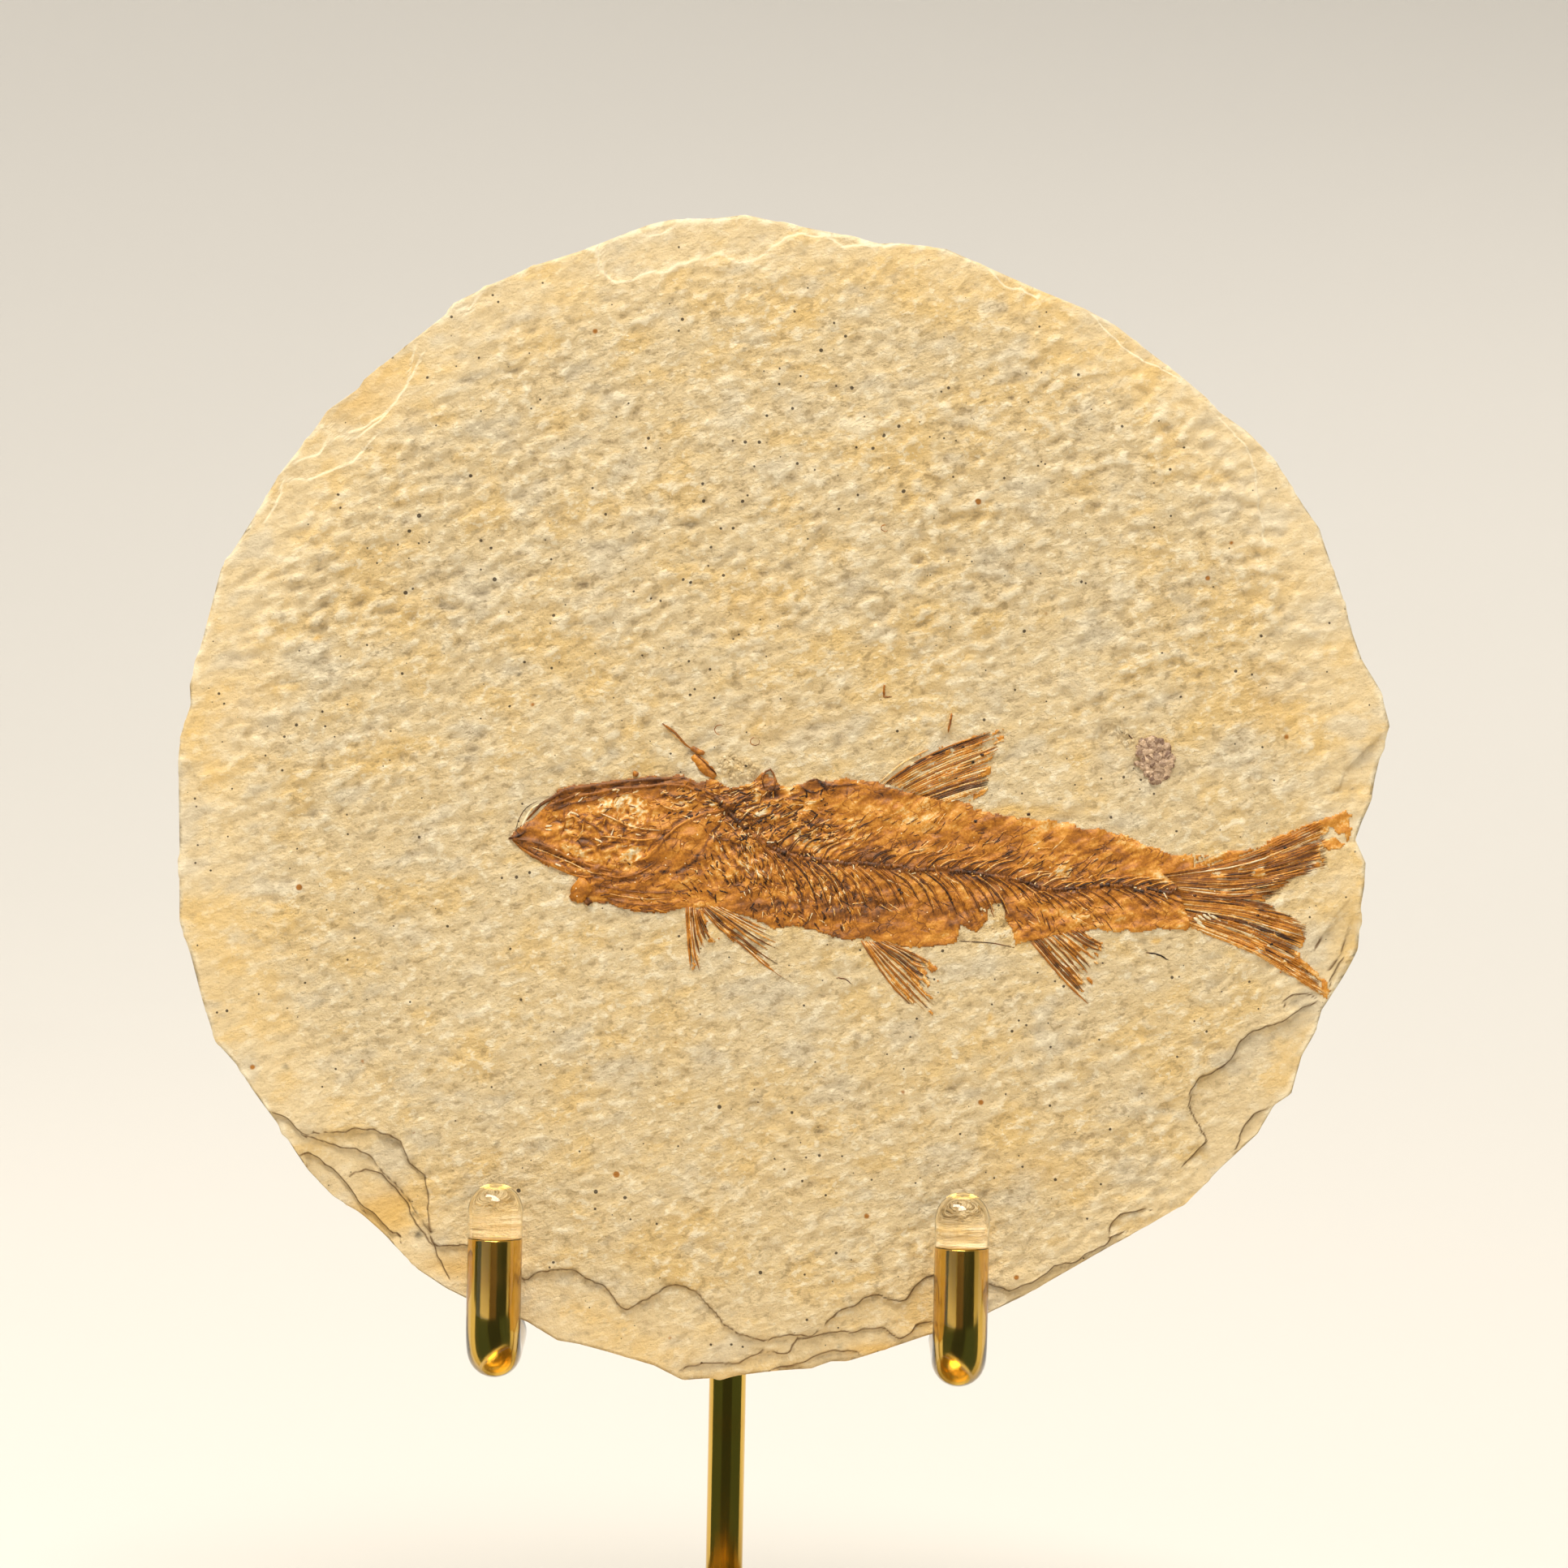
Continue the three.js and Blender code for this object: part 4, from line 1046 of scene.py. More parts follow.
def body_surface(right, up):
    edge_distance = from_line(right, up, [*BODY, BODY[0]])[0]
    rise = ease(edge_distance, 0, 0.45)
    skull = np.exp(-(((right + 13.2) / 8.2) ** 2 + ((up + 3.6) / 4.2) ** 2) * 1.6)
    lift, shade, weight = raised(right, up, HEAD_LINES)
    ruffle = 0.05 * noise(right / 0.9, up / 0.7, 44) + 0.04 * noise(right / 0.4, up / 0.35, 45)
    tone = 0.57 + 0.15 * noise(right / 5, up / 2.2, 46) + 0.13 * noise(right / 1.3, up / 0.8, 47)
    belly = np.exp(-(((right - 6) / 9) ** 2 + ((up + 9.4) / 1.7) ** 2))
    tone += 0.04 * ease(right, 16, 24) - 0.14 * belly
    tone += 0.08 * np.exp(-(((right - 8) / 8) ** 2 + ((up + 1.6) / 1.7) ** 2))
    beside_column = from_line(right, up, BACKBONE)[0]
    tone -= 0.22 * np.exp(-((beside_column / 0.7) ** 2)) * ease(right, -6, 2)
    calm = np.zeros(right.shape)
    for middle, widths, swell in SMOOTH:
        oval = within(right, up, middle, widths)
        calm = np.maximum(calm, oval)
        lift = lift + swell * oval
    for number, (middle, widths, turn, length, width, shading, relief) in enumerate(CRUSHED):
        oval = within(right, up, middle, widths) * (1 - calm)
        lines = streaks(right, up, length, width, 60 + number, radians(turn))
        tone += shading * lines * oval
        lift = lift + relief * lines * oval
    folds = 1 - 3.2 * np.abs(noise(right / 0.9 + 0.5 * noise(right, up, 52), up / 0.75, 51))
    oval = within(right, up, *FOLDED)
    tone += 0.20 * folds * oval
    lift = lift + 0.10 * folds * oval
    tone = tone * (1 - calm) + (0.56 + 0.07 * noise(right / 0.7, up / 0.5, 53)) * calm
    tone = tone * (1 - weight) + shade * weight
    height = ground(right, up) + 0.04 + 0.08 * rise + 0.28 * skull * rise
    height += (lift + ruffle * (1 - calm)) * (0.3 + 0.7 * rise)
    for patch in CREAM_PATCHES:
        shake = 0.26 * noise(right / 0.5, up / 0.5, 49)
        bare = inside(right + shake, up + shake, patch)
        tone = np.where(bare, 0.95 - 0.6 * np.abs(noise(right / 0.6, up / 0.5, 50)), tone)
        height -= 0.05 * bare
    return height, tone


# The tail's rays spread from a point, and stop short of its torn end. The other fins' run side by side.
TAIL_RAYS_END = 46.3
TAIL_ROOT = (32.1, -7.2)


def tail_streaks(right, up):
    away = np.hypot(right - TAIL_ROOT[0], up - TAIL_ROOT[1])
    angle = np.arctan2(up - TAIL_ROOT[1], right - TAIL_ROOT[0])
    return noise(angle * 42 + 60, away / 3.5, 43)


def fin_streaks(right, up):
    lines = tail_streaks(right, up)
    for outline, turn in FINS:
        if turn:
            lines = np.where(inside(right, up, outline), streaks(right, up, 3.0, 0.24, 54, turn), lines)
    return lines


def fins_hold(right, up):
    shake = 0.16 * noise(right / 0.5, up / 0.5, 55)
    kept = np.zeros(right.shape, bool)
    lines = fin_streaks(right, up)
    for outline, turn in FINS:
        solid = (lines > (-0.08 if turn else -0.30)) | (right > TAIL_RAYS_END)
        kept |= inside(right + shake, up + shake, outline) & solid
    broken = (right > TAIL_RAYS_END) & (noise(right / 0.9, up / 0.7, 56) < -0.34)
    return kept & ~broken & ~body_holds(right, up)


def fins_surface(right, up):
    lines = fin_streaks(right, up)
    beyond = ease(right, 46.2, 46.6)
    tone = 0.58 + 0.42 * lines + 0.10 * noise(right / 0.9, up / 0.9, 57)
    tone += 0.12 * (1 - ease(np.abs(right - TAIL_RAYS_END), 0, 0.8)) + 0.02 * ease(up, 0, 4)
    tone = tone * (1 - beyond) + (0.70 + 0.12 * noise(right / 0.8, up / 0.5, 58)) * beyond
    return ground(right, up) + 0.05 + 0.05 * lines * (1 - beyond) - 0.02 * beyond, tone


body_low = np.min(BODY, axis=0) - 0.3
body_high = np.max(BODY, axis=0) + 0.3
body_film = film(body_holds, body_low, body_high, body_surface)
every_fin = np.array([corner for outline, _ in FINS for corner in outline])
fin_film = film(fins_hold, every_fin.min(axis=0) - 0.3, every_fin.max(axis=0) + 0.3, fins_surface)
film_trees = [BVHTree.FromBMesh(body_film), BVHTree.FromBMesh(fin_film)]


def on_top(right, up):
    """The height of whatever lies uppermost at a point: film or bare stone."""
    for tree in (*film_trees, stone_tree):
        hit = tree.ray_cast(Vector((right, up, 5)), Vector((0, 0, -1)))[0]
        if hit:
            return hit.z
    return -SLAB_THICKNESS


BONE_TONES = [
    (0.00, linear(46, 28, 14)),
    (0.20, linear(104, 62, 24)),
    (0.40, linear(150, 90, 25)),
    (0.58, linear(192, 120, 30)),
    (0.74, linear(222, 153, 58)),
    (0.88, linear(238, 200, 134)),
    (1.00, linear(240, 226, 190)),
]


def bone_finish(name, scales):
    """Orange-brown fossil bone, a little waxy. Its tone is painted, then mottled, and skin has scales."""
    finish = Finish(name, Specular_IOR_Level=0.4)
    mottle = finish.noise((1.5, 0.9, 0.5), detail=6, turn=radians(28), roughness=0.66)
    flecks = finish.noise(0.22, detail=3, roughness=0.6)
    clouds = finish.noise((4.0, 2.6, 1.5), detail=4, shift=4, roughness=0.6)
    value = finish.painted("tone") + (mottle - 0.5) * 0.62 + (flecks - 0.5) * 0.5
    value = value + (clouds - 0.5) * 0.5
    bump = finish.bump(flecks, 0.09, 0.7)
    if scales:
        size = (0.60, 0.58, 0.44)
        gap = finish.cells(size, "DISTANCE_TO_EDGE", turn=radians(25), warp=0.35)
        crack = finish.fade(gap, 0.08, 0.0)
        patchy = finish.fade(finish.noise(1.6, detail=3, shift=9), 0.46, 0.62)
        every = finish.cells(size, turn=radians(25), warp=0.35, output=1)
        each = finish.node("SeparateColor", None, {0: every})
        value = value - crack * patchy * 0.22 + (each - 0.5) * 0.14 * patchy
        bump = finish.bump(1 - crack * patchy, 0.05, 0.7, under=bump)
    glints = finish.cells(0.9, shift=5)
    value = value + finish.fade(glints, 0.085, 0.04) * 0.6
    colour = finish.node("ValToRGB", {"stops": BONE_TONES}, {0: value})
    finish.give(Base_Color=colour, Roughness=0.42 + mottle * 0.3, Normal=bump)
    return finish


skin = bone_finish("skin_and_scales", True)
bone = bone_finish("fossil_bone", False)
for name, bm, finish in (("fish_skin", body_film, skin), ("fin_film", fin_film, bone)):
    bmesh.ops.transform(bm, matrix=face_place, verts=bm.verts[:])
    made = put(name, bm, finish.material)
    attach(made, "root")
    if name == "fish_skin":
        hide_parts("fish")

# ---- The bones ----
# Thin flattened rods of the same fossil bone, each lying on the film or on the bare stone: vertebrae,
# ribs, spines and fin rays. Some are cracked through or slightly out of place.
ROD_RINGS = 9

rod_shape = bmesh.new()
bmesh.ops.create_cone(rod_shape, cap_ends=True, segments=6, radius1=1, radius2=1, depth=1)
uprights = [edge for edge in rod_shape.edges if abs(edge.verts[0].co.z - edge.verts[1].co.z) > 0.5]
bmesh.ops.subdivide_edges(rod_shape, edges=uprights, cuts=ROD_RINGS - 2)
bmesh.ops.translate(rod_shape, verts=rod_shape.verts[:], vec=(0, 0, 0.5))
rod_mesh = bpy.data.meshes.new("rod_shape")
rod_shape.to_mesh(rod_mesh)
rod_shape.free()


def through(points, shares):
    """Places at the given shares of a smooth curve through the points."""
    points = np.array(points, float)
    if len(points) == 2:
        points = np.array([points[0], points.mean(axis=0), points[1]])
    spans = np.hypot(*np.diff(points, axis=0).T)
    passed = np.concatenate([[0], np.cumsum(spans)]) / spans.sum()
    slopes = np.gradient(points, passed, axis=0)
    last = np.clip(np.searchsorted(passed, shares, side="right"), 1, len(points) - 1)
    span = passed[last] - passed[last - 1]
    t = ((shares - passed[last - 1]) / span)[:, None]
    span = span[:, None]
    start, end = points[last - 1], points[last]
    out, into = slopes[last - 1] * span, slopes[last] * span
    return (
        (2 * t**3 - 3 * t**2 + 1) * start
        + (t**3 - 2 * t**2 + t) * out
        + (3 * t**2 - 2 * t**3) * end
        + (t**3 - t**2) * into
    )


class Bones:
    """A group of like bones, joined in one piece."""

    def __init__(self, seed):
        self.bm = bmesh.new()
        self.tone = self.bm.verts.layers.float.new("tone")
        self.rng = np.random.default_rng(seed)

    def lay(self, points, width, proud, tone, ends=(0.5, 0.2), waist=0.0, sink=0.0):
        """Lays one rod along the points. Its ends narrow to the given shares of its width."""
        count = len(self.bm.verts)
        self.bm.from_mesh(rod_mesh)
        self.bm.verts.ensure_lookup_table()
        verts = self.bm.verts[count:]
        shares = np.linspace(0, 1, ROD_RINGS)
        path = through(points, shares)
        path += self.rng.normal(0, 0.012, path.shape)
        ahead = np.gradient(path, axis=0)
        ahead /= np.hypot(*ahead.T)[:, None]
        base = [on_top(x, y) for x, y in path]
        swell = np.minimum(1, np.minimum(ends[0] + shares * 5, ends[1] + (1 - shares) * 3.5))
        swell = swell * (1 - waist * (1 - (2 * shares - 1) ** 2)) * self.rng.uniform(0.88, 1.12, ROD_RINGS)
        shade = tone + self.rng.normal(0, 0.05) + self.rng.normal(0, 0.05, ROD_RINGS)
        for vertex in verts:
            ring = round(vertex.co.z * (ROD_RINGS - 1))
            across = vertex.co.x * width / 2 * swell[ring]
            vertex[self.tone] = float(shade[ring])
            vertex.co = (
                path[ring, 0] - ahead[ring, 1] * across,
                path[ring, 1] + ahead[ring, 0] * across,
                base[ring] - sink + vertex.co.y * proud * min(1, swell[ring] + 0.2),
            )

    def fan(self, roots, tips, count, width, proud, tones, bow=0.0, fork=0.6):
        """Fin rays from one line to another, each forked towards its tip."""
        for share in np.linspace(0, 1, count):
            root = through(roots, np.array([share]))[0]
            tip = through(tips, np.array([share]))[0] + self.rng.normal(0, 0.35, 2) * (0.4, 0.25)
            side = np.array([root[1] - tip[1], tip[0] - root[0]]) * bow
            middle = (root + tip) / 2 + side + self.rng.normal(0, 0.04, 2)
            tone = self.rng.choice(tones)
            self.lay([root, middle, tip], width, proud, tone)
            start = root + (tip - root) * fork + side * 0.8
            spread = np.array([root[1] - tip[1], tip[0] - root[0]])
            spread = spread / np.hypot(*spread) * self.rng.uniform(0.12, 0.28)
            self.lay([start, tip + spread], width * 0.8, proud * 0.8, tone - 0.05)

    def rays(self, lines, per_gap, width, proud, tones):
        """Fin rays along the lines and between neighbours, some of them broken off short."""
        shares = np.linspace(0, 1, 5)
        paths = [through(line, shares) for line in lines]
        for before, after in zip(paths, paths[1:] + paths[-1:]):
            for step in range(per_gap):
                path = before + (after - before) * step / per_gap
                path = through(path, shares * self.rng.uniform(0.80, 1.0))
                self.lay(path, width, proud, self.rng.choice(tones))

    def edged_rays(self, lines, shift, width, proud, tones, edge_proud, edge_tones):
        """Two rays to a gap, each with a hair-thin one of other tones a little to its side."""
        self.rays(lines, 2, width, proud, tones)
        beside = [[(x + shift[0], y + shift[1]) for x, y in line] for line in lines]
        self.rays(beside, 2, 0.09, edge_proud, edge_tones)

    def done(self, name):
        bmesh.ops.transform(self.bm, matrix=face_place, verts=self.bm.verts[:])
        made = put(name, self.bm, bone.material)
        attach(made, "root")


skull_bones = Bones(12)
for line, half_width, lift, shade in HEAD_LINES:
    if lift > 0:
        skull_bones.lay(line, 1.3 * half_width, 0.4 * lift + 0.04, shade, ends=(0.3, 0.2), sink=0.02)
skull_bones.lay([(-17.9, -8.8), (-17.6, -7.9), (-16.9, -7.1)], 1.7, 0.34, 0.50, ends=(0.7, 0.6), sink=0.02)
skull_bones.lay([(-17.1, -9), (-16.7, -8.6)], 0.7, 0.30, 0.30, ends=(0.7, 0.6))
# Chips and splinters of the cheek and of the crushed bones behind the head.
for low, high, count, length, slant, shades in (
    ((-20.67, 0.85), (-10.71, -5.66), 110, 0.50, 0.2, [0.20, 0.36, 0.66, 0.80, 0.92]),
    ((-10.71, 0.98), (4.24, -3.72), 380, 0.55, 0.25, [0.06, 0.14, 0.24, 0.66, 0.84]),
    ((-8.49, -1.78), (-0.74, -8.15), 200, 0.55, -1.0, [0.08, 0.16, 0.28, 0.68, 0.80]),
    ((-3.51, -4.55), (6.46, -10.92), 200, 0.60, -1.3, [0.10, 0.20, 0.30, 0.70, 0.84]),
    ((-17.35, -6.77), (-8.49, -9.81), 50, 0.70, -0.1, [0.30, 0.40, 0.68]),
):
    for _ in range(count):
        x = skull_bones.rng.uniform(low[0], high[0])
        y = skull_bones.rng.uniform(high[1], low[1])
        turn = skull_bones.rng.normal(slant, 0.5)
        length_here = skull_bones.rng.uniform(0.4, 1.5) * length
        tip = (x + length_here * cos(turn), y + length_here * sin(turn))
        if inside(np.array([x, tip[0]]), np.array([y, tip[1]]), BODY).all():
            if within(x, y, *SMOOTH[0][:2]) < 0.5:
                width = skull_bones.rng.uniform(0.07, 0.18)
                skull_bones.lay([(x, y), tip], width, 0.08, skull_bones.rng.choice(shades))
skull_bones.done("skull_bones")

COLUMN = np.array([*BACKBONE, (33.99, -7.61)])
VERTEBRAE = 42
joints = through(COLUMN, np.linspace(0, 1, VERTEBRAE + 1))

vertebrae = Bones(1)
for front, back in zip(joints, joints[1:]):
    share = (front[0] - joints[0][0]) / (joints[-1][0] - joints[0][0])
    size = 0.72 - 0.26 * share
    lean = vertebrae.rng.normal(0, 0.07, 2)
    tone = vertebrae.rng.choice([0.14, 0.20, 0.28, 0.36])
    span = [front + lean, back + lean - (0.10, 0)]
    vertebrae.lay(span, size, 0.20, tone, ends=(0.9, 0.9), waist=0.42, sink=0.03)
    for _ in range(3):
        chip = (front + back) / 2 + vertebrae.rng.normal(0, 0.28, 2)
        tip = chip + vertebrae.rng.normal(0, 0.22, 2)
        vertebrae.lay([chip, tip], 0.14, 0.14, vertebrae.rng.choice([0.08, 0.30, 0.66, 0.9]))
vertebrae.done("vertebrae")

neural = Bones(2)
for number, (x, y) in enumerate(joints[2:-2]):
    share = number / (VERTEBRAE - 4)
    turn = radians(50 - 28 * share + neural.rng.normal(0, 9 - 6 * share))
    length = (3.4 - 0.9 * share) * neural.rng.uniform(0.6, 1.1)
    tip = (x + length * cos(turn * 0.72), y + length * sin(turn * 0.72))
    middle = (x + 0.5 * length * cos(turn), y + 0.15 + 0.5 * length * sin(turn))
    tone = neural.rng.choice([0.60, 0.70, 0.80]) if share > 0.4 else neural.rng.choice([0.2, 0.4, 0.7])
    neural.lay([(x, y + 0.2), middle, tip], 0.12, 0.09, tone)
    # A dark rod just below each spine is a painted shadow.
    shadow = [(x + 0.08, y + 0.02), (middle[0] + 0.08, middle[1] - 0.13), (tip[0] - 0.2, tip[1] - 0.13)]
    neural.lay(shadow, 0.12, 0.07, 0.18)
neural.done("neural_spines_and_shadows")

haemal = Bones(3)
for number, (x, y) in enumerate(joints[20:-2]):
    share = number / (VERTEBRAE - 22)
    turn = radians(-50 + 18 * share + haemal.rng.normal(0, 4))
    length = (3.2 - 0.6 * share) * haemal.rng.uniform(0.7, 1.1)
    tip = (x + length * cos(turn), y + length * sin(turn))
    middle = (x + 0.5 * length * cos(turn * 0.8), y - 0.1 + 0.5 * length * sin(turn * 0.9))
    haemal.lay([(x, y - 0.2), middle, tip], 0.13, 0.09, 0.24)
    beside = [(x + 0.2, y - 0.2), (middle[0] + 0.2, middle[1]), (tip[0] + 0.15, tip[1] + 0.1)]
    haemal.lay(beside, 0.09, 0.07, haemal.rng.choice([0.6, 0.7]))
haemal.done("haemal_spines")

ribs = Bones(4)
for number, (x, y) in enumerate(joints[5:25]):
    share = number / 19
    x += ribs.rng.normal(0, 0.14)
    drop = (4.6 - 0.6 * share) * ribs.rng.uniform(0.75, 1.05)
    back = 2.3 + 0.4 * share + ribs.rng.normal(0, 0.12)
    path = [(x, y - 0.3), (x + 0.62 * back, y - 0.45 * drop), (x + back, y - drop)]
    ribs.lay(path, 0.16, 0.10, ribs.rng.choice([0.16, 0.26, 0.34]))
    beside = [(px + 0.18, py + 0.02) for px, py in path]
    ribs.lay(beside, 0.09, 0.07, ribs.rng.choice([0.56, 0.66, 0.74]))
ribs.done("ribs")

# Fine bones that lay between the muscles, slanting away from the column on both sides.
splinters = Bones(5)
for _ in range(420):
    share = splinters.rng.uniform(0, 0.85)
    x, y = through(COLUMN, np.array([share]))[0]
    above = splinters.rng.random() < 0.6
    y += splinters.rng.uniform(0.5, 4.2) if above else -splinters.rng.uniform(0.5, 3.6)
    turn = radians(splinters.rng.normal(32 if above else -42, 16))
    length = splinters.rng.uniform(0.4, 1.4)
    tip = (x + length * cos(turn), y + length * sin(turn))
    if inside(np.array([x, tip[0]]), np.array([y, tip[1]]), BODY).all():
        splinters.lay([(x, y), tip], 0.09, 0.06, splinters.rng.choice([0.16, 0.24, 0.32, 0.7, 0.84]))
splinters.done("muscle_bones")

RAY_TONES = [0.20, 0.32, 0.44, 0.56, 0.66, 0.86]
dorsal = Bones(6)
dorsal.lay([(8.28, 1.46), (10.21, 3.13), (12.46, 4.29)], 0.16, 0.14, 0.90)
dorsal.rays(
    [
        [(8.6, 1.33), (11.17, 3.13), (14.39, 4.64), (19.27, 6.25)],
        [(9.08, 1.27), (11.81, 3.03), (15.03, 4.42), (19.21, 5.93)],
        [(9.57, 1.1), (12.46, 2.71), (15.67, 4), (19.05, 4.96)],
        [(10.21, 0.88), (13.1, 2.39), (16.31, 3.68), (18.89, 4.74)],
        [(10.69, 0.69), (13.74, 2.07), (16.64, 3.13), (18.82, 4)],
        [(11.33, 0.46), (14.39, 1.75), (17.28, 2.71), (18.63, 3.03)],
        [(11.98, 0.3), (14.71, 1.27), (17.6, 2.23)],
        [(12.62, 0.14), (15.35, 1.1), (18.08, 1.75)],
        [(13.42, -0.08), (15.99, 0.78), (17.92, 1.2)],
        [(14.06, -0.28), (15.99, 0.37), (17.12, 0.62)],
    ],
    3, 0.15, 0.11, RAY_TONES,
)
dorsal.done("dorsal_fin")

pectoral = Bones(7)
for lines in (
    [
        [(-8.44, -9.26), (-8.27, -12.03), (-7.99, -14.93)],
        [(-8.08, -9.26), (-7.88, -12.03), (-7.61, -13.69), (-7.16, -15.21)],
        [(-7.77, -9.4), (-7.38, -11.47), (-6.89, -13.08)],
        [(-7.44, -9.53), (-6.89, -10.92), (-6.28, -12.36)],
    ],
    [
        [(-7.16, -9.31), (-5.45, -11.14), (-3.51, -12.58), (-1.43, -13.91)],
        [(-6.97, -9.4), (-4.89, -11.75), (-2.4, -13.41), (-1.43, -14.52), (0.5, -15.76)],
        [(-6.69, -9.2), (-4.48, -10.78), (-2.4, -12.36), (-0.74, -13.27)],
        [(-6.42, -9.2), (-4.06, -10.5), (-1.85, -11.8), (-0.13, -12.63)],
        [(-5.58, -9.26), (-3.51, -10.31), (-1.16, -11.42)],
    ],
):
    pectoral.edged_rays(lines, (0.12, 0), 0.22, 0.13, [0.34, 0.46, 0.56, 0.62], 0.12, [0.2, 0.8, 0.92])
pectoral.done("pectoral_fin")

pelvic = Bones(8)
lines = [
    [(6.67, -12.17), (8.28, -14.64), (9.89, -16.73), (11.65, -18.34)],
    [(7.06, -12.23), (9.08, -14.48), (11.01, -16.57), (13.42, -19.14)],
    [(7.57, -12.3), (9.73, -14), (11.49, -15.61), (12.52, -16.73)],
    [(8.12, -12.3), (10.21, -13.45), (11.81, -14.55), (13.16, -14.35)],
    [(8.6, -12.23), (10.53, -13.04), (12.62, -14.16)],
]
pelvic.edged_rays(lines, (0.14, 0.02), 0.22, 0.12, [0.36, 0.48, 0.58], 0.11, [0.22, 0.8, 0.92])
pelvic.done("pelvic_fin")

anal = Bones(9)
lines = [
    [(21.3, -12.23), (23.06, -14.32), (24.99, -16.48), (26.34, -17.76)],
    [(21.84, -12.07), (23.64, -14.1), (25.25, -15.83), (26.02, -16.86)],
    [(22.68, -11.91), (24.35, -13.52), (25.83, -15.32)],
    [(23.45, -11.65), (25.25, -13.26), (26.73, -14.87)],
    [(24.35, -11.43), (25.96, -12.49), (27.5, -13.2)],
    [(25.15, -11.14), (26.34, -11.98), (27.43, -12.55)],
]
anal.edged_rays(lines, (0.14, 0.03), 0.21, 0.12, [0.32, 0.44, 0.56], 0.11, [0.22, 0.78, 0.9])
anal.done("anal_fin")

tail = Bones(10)
upper_root = [(32.71, -6.45), (33.51, -7.09), (33.99, -7.86)]
upper_tips = [(46.27, -1.95), (46.59, -3.88), (46.53, -5.81), (44.44, -6.51), (43.25, -7.48),
    (42.03, -8.44)]
lower_root = [(34.15, -8.12), (34.57, -9.34), (35.12, -11.11)]
lower_tips = [(41.7, -9.18), (45.08, -11.65), (44.02, -13.36), (45.56, -15.45), (46.78, -17.05)]
tail.fan(upper_root, upper_tips, 44, 0.14, 0.10, RAY_TONES, bow=-0.05)
tail.fan(lower_root, lower_tips, 40, 0.14, 0.10, RAY_TONES, bow=0.04)
tail.done("tail_fin")

# Bones that drifted off the fish before it was buried, pale rods at the tail's base, dark grains, cracks
# in the stone beside it, and three small curled marks.
PALE_RODS = [(35.3, -10.2), (35.7, -10), (36.1, -9.9), (36.5, -9.8), (36.9, -10), (35.6, -10.6)]
DARK_GRAINS = [(16.3, 3.2), (17.1, 3.8), (14.8, 1.8), (15.4, 4.5), (9.9, -7.8), (10.1, -8.1), (40.8, -10),
    (42, -12.5), (42.6, -6.2), (43.2, -4.2), (35.4, -8.3), (21.1, -1.3), (16.5, -1.9)]
strays = Bones(11)
for line, width, proud, tone, ends in (
    ([(-10.48, 6.52), (-9.32, 5.69), (-8.49, 4.72), (-7.8, 4.25)], 0.22, 0.14, 0.50, (0.5, 0.2)),
    ([(-10.37, 6.19), (-9.32, 5.41), (-8.44, 4.58)], 0.10, 0.10, 0.84, (0.5, 0.2)),
    ([(-7.99, 4.47), (-7.52, 4.19), (-6.89, 3.97)], 0.50, 0.24, 0.40, (0.6, 0.6)),
    ([(-7.8, 3.81), (-7.25, 3.2), (-5.94, 1.92)], 1.05, 0.22, 0.56, (0.6, 0.4)),
    ([(-7.61, 3.92), (-6.83, 3.2), (-5.83, 2.2)], 0.16, 0.26, 0.24, (0.5, 0.4)),
    ([(14.48, 7.44), (14.32, 6.57), (14.16, 5.76)], 0.22, 0.16, 0.50, (0.5, 0.2)),
    ([(8.67, 9.88), (8.6, 8.82)], 0.20, 0.14, 0.50, (0.5, 0.2)),
    ([(8.6, 8.82), (9.31, 8.85)], 0.12, 0.12, 0.30, (0.5, 0.2)),
    ([(-1.71, 0.98), (-1.85, 2.04), (-1.16, 2.59), (-0.8, 1.92),
        (-0.91, 0.71)], 0.18, 0.2, 0.30, (0.5, 0.5)),
    ([(-13.03, 2.26), (-12.59, 2.09)], 0.5, 0.25, 0.55, (0.6, 0.6)),
    ([(15.1, -12.2), (18.6, -12.5), (19.9, -12.8)], 0.10, 0.04, 0.04, (0.3, 0.2)),
    ([(31.2, -13.2), (32.3, -13.4), (33.2, -13.9)], 0.16, 0.04, 0.06, (0.3, 0.2)),
    ([(28, 5.5), (28.8, 5.9), (29.5, 5.7), (30.2, 5.1)], 0.15, 0.04, 0.18, (0.2, 0.3)),
    *(([(x, y), (x + 0.75, y - 0.5)], 0.24, 0.2, 1.1, (0.4, 0.4)) for x, y in PALE_RODS),
    ([(4.5, -15.4), (5.3, -15.5), (5.9, -16)], 0.10, 0.04, 0.20, (0.3, 0.2)),
):
    strays.lay(line, width, proud, tone, ends)
for x, y in DARK_GRAINS:
    strays.lay([(x - 0.12, y), (x + 0.14, y + 0.04)], 0.26, 0.12, 0.02, (0.7, 0.7))
for x, y, radius, turn in (
    (-2.5, 5, 0.42, 5.9), (-5.5, 6, 0.5, 3.6), (8.7, 23.4, 0.34, 4.4)
):
    angles = np.linspace(1.2, 1.2 + turn, 9)
    circle = [(x + radius * cos(a), y + 0.85 * radius * sin(a)) for a in angles]
    strays.lay(circle, 0.08, 0.03, 0.40, (0.3, 0.3))
strays.done("stray_bones")

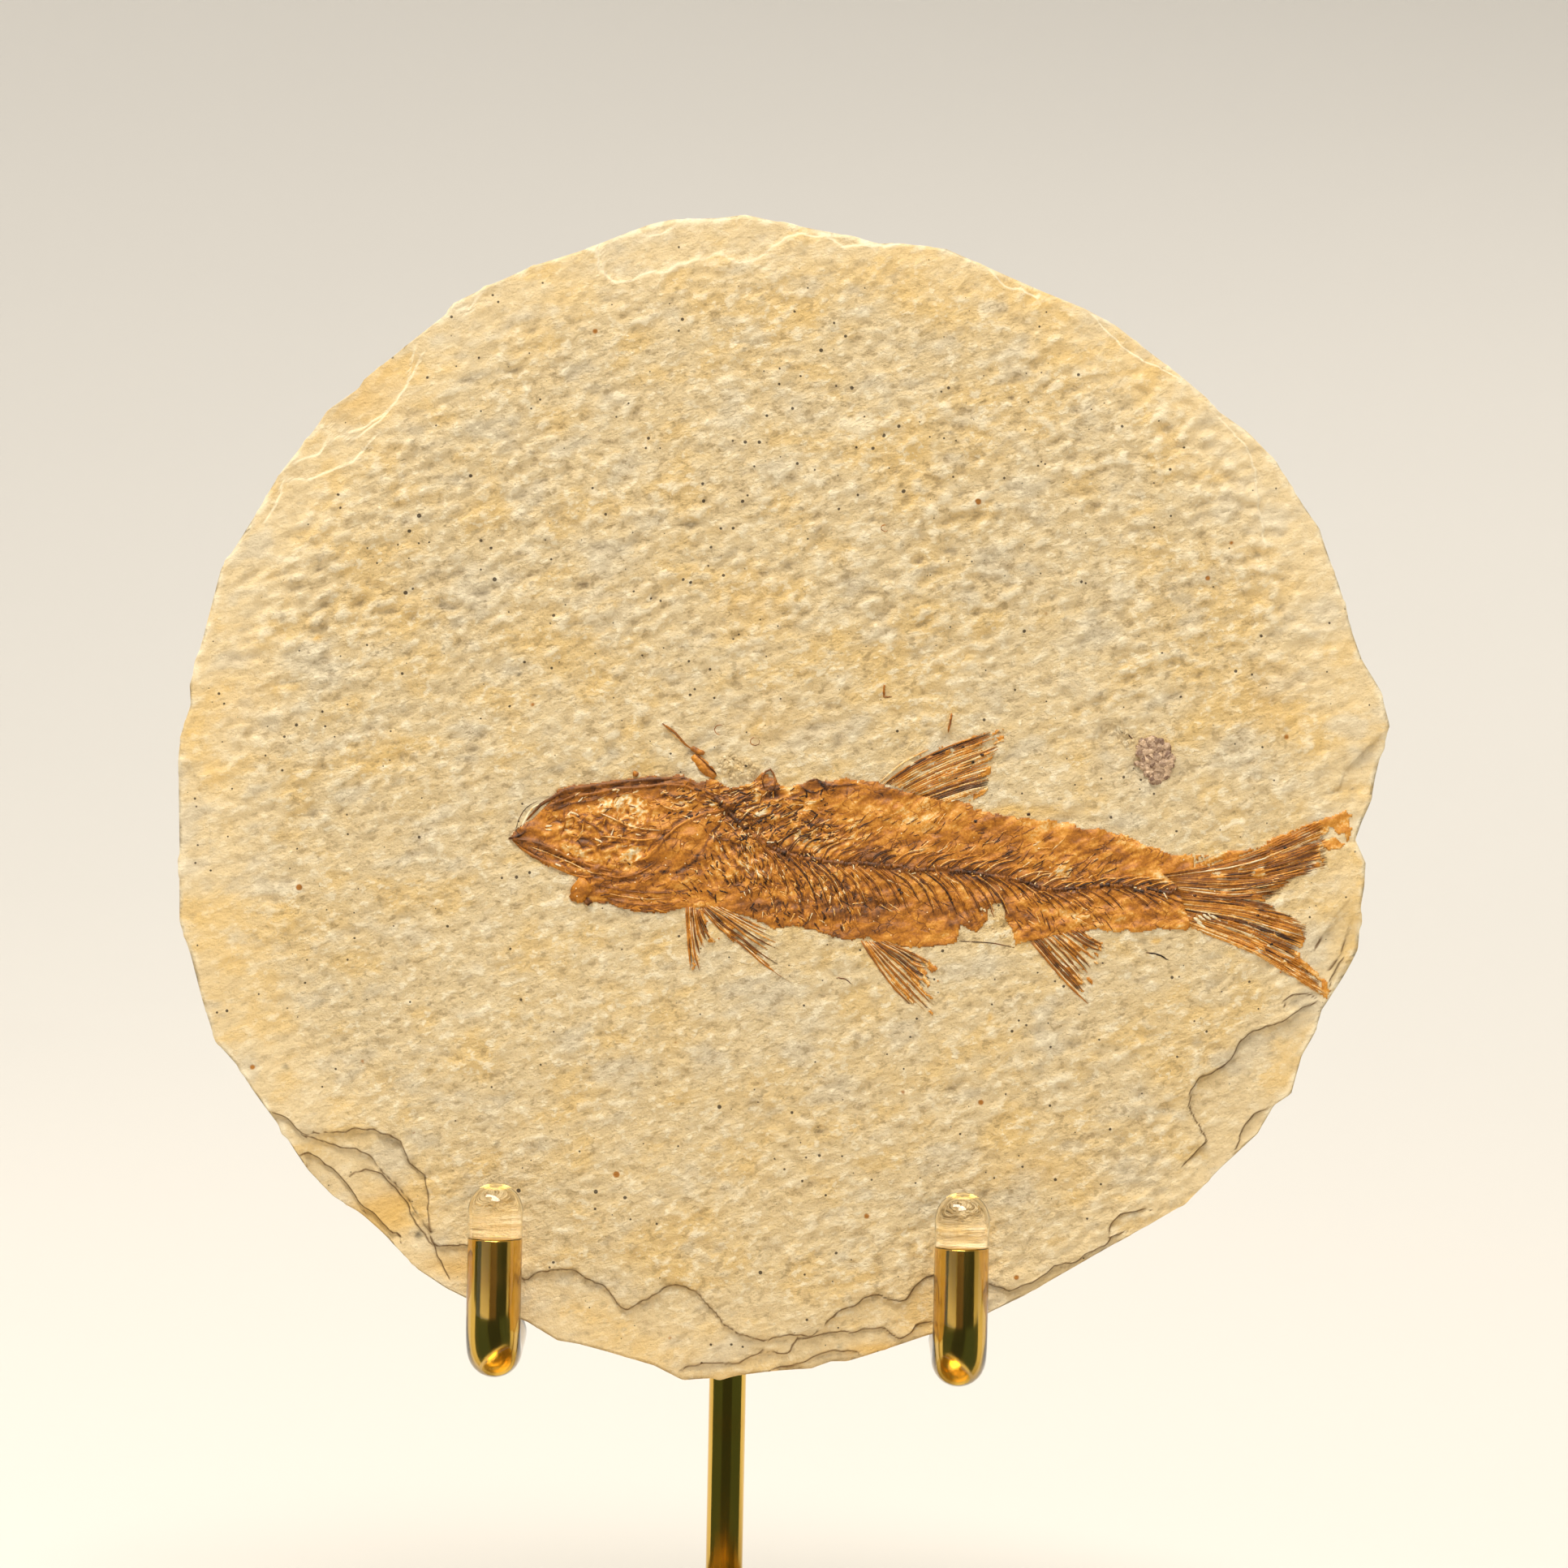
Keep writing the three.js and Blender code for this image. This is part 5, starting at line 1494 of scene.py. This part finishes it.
# ---- Crust and rubble ----
# A small crust of grey-brown mineral grains above the tail, and crumbs of stone and bone where the head's
# roof broke up. The grains have grown or settled onto the face and are stuck fast to it.
crust = Finish("mineral_crust", Roughness=0.6, Specular_IOR_Level=0.5)
grain_tone = crust.node("SeparateColor", None, {0: crust.cells(0.42, output=1)})
grit = crust.noise(0.15, detail=3)
crust_colour = crust.mix(linear(124, 94, 74), linear(220, 188, 154), grain_tone + (grit - 0.5) * 0.9)
crust.give(Base_Color=crust_colour, Normal=crust.bump(grit, 0.08, 0.8))


def crumbs(name, finish, seed, clusters):
    """Piles of small broken grains, each pile inside its own outline."""
    rng = np.random.default_rng(seed)
    bm = bmesh.new()
    for outline, count, smallest, largest in clusters:
        low, high = np.min(outline, axis=0), np.max(outline, axis=0)
        while count:
            x, y = rng.uniform(low, high)
            if not inside(np.array([x]), np.array([y]), outline)[0]:
                continue
            size = rng.uniform(smallest, largest)
            turn = Matrix.Rotation(rng.uniform(0, 2 * pi), 4, "Z")
            turn = turn @ Matrix.Rotation(rng.uniform(-0.6, 0.6), 4, "X")
            shape = Matrix.Diagonal((size, size * rng.uniform(0.5, 0.9), size * 0.6, 1))
            place = Matrix.Translation((x, y, on_top(x, y) + 0.1 * size)) @ turn @ shape
            bmesh.ops.create_icosphere(bm, subdivisions=1, radius=1, matrix=place)
            count -= 1
    bmesh.ops.transform(bm, matrix=face_place, verts=bm.verts[:])
    made = put(name, bm, finish.material, smooth=False)
    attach(made, "root")


CRUST_OUTLINE = [(30.3, 4.5), (30.9, 5.2), (32, 5.3), (33, 4.8), (33.7, 3.4), (33.2, 2.3), (32.6, 1.6),
    (31.8, 1.3), (31.2, 2.5), (30.5, 3)]
crumbs("mineral_crust", crust, 21, [(CRUST_OUTLINE, 300, 0.2, 0.5)])
crumbs("stone_rubble", stone, 22, [
    ([(-5.7, 3.6), (-4.3, 4), (-2.4, 3.3), (-2.1, 1.9), (-4.3, 1.6), (-5.6, 2.3)], 110, 0.10, 0.30),
    ([(27.3, 6.2), (28.4, 6.7), (29.8, 5.8), (30.4, 4.8), (29.7, 4.3), (28.6, 5.4)], 46, 0.10, 0.28),
    ([(12.9, 2.5), (14.7, 2.6), (15, 1.9), (13, 1.6)], 14, 0.07, 0.18),
    ([(16.9, -9.3), (17.8, -9), (19.2, -10.2), (19.6, -11.8), (17.5, -12)], 30, 0.06, 0.20),
])
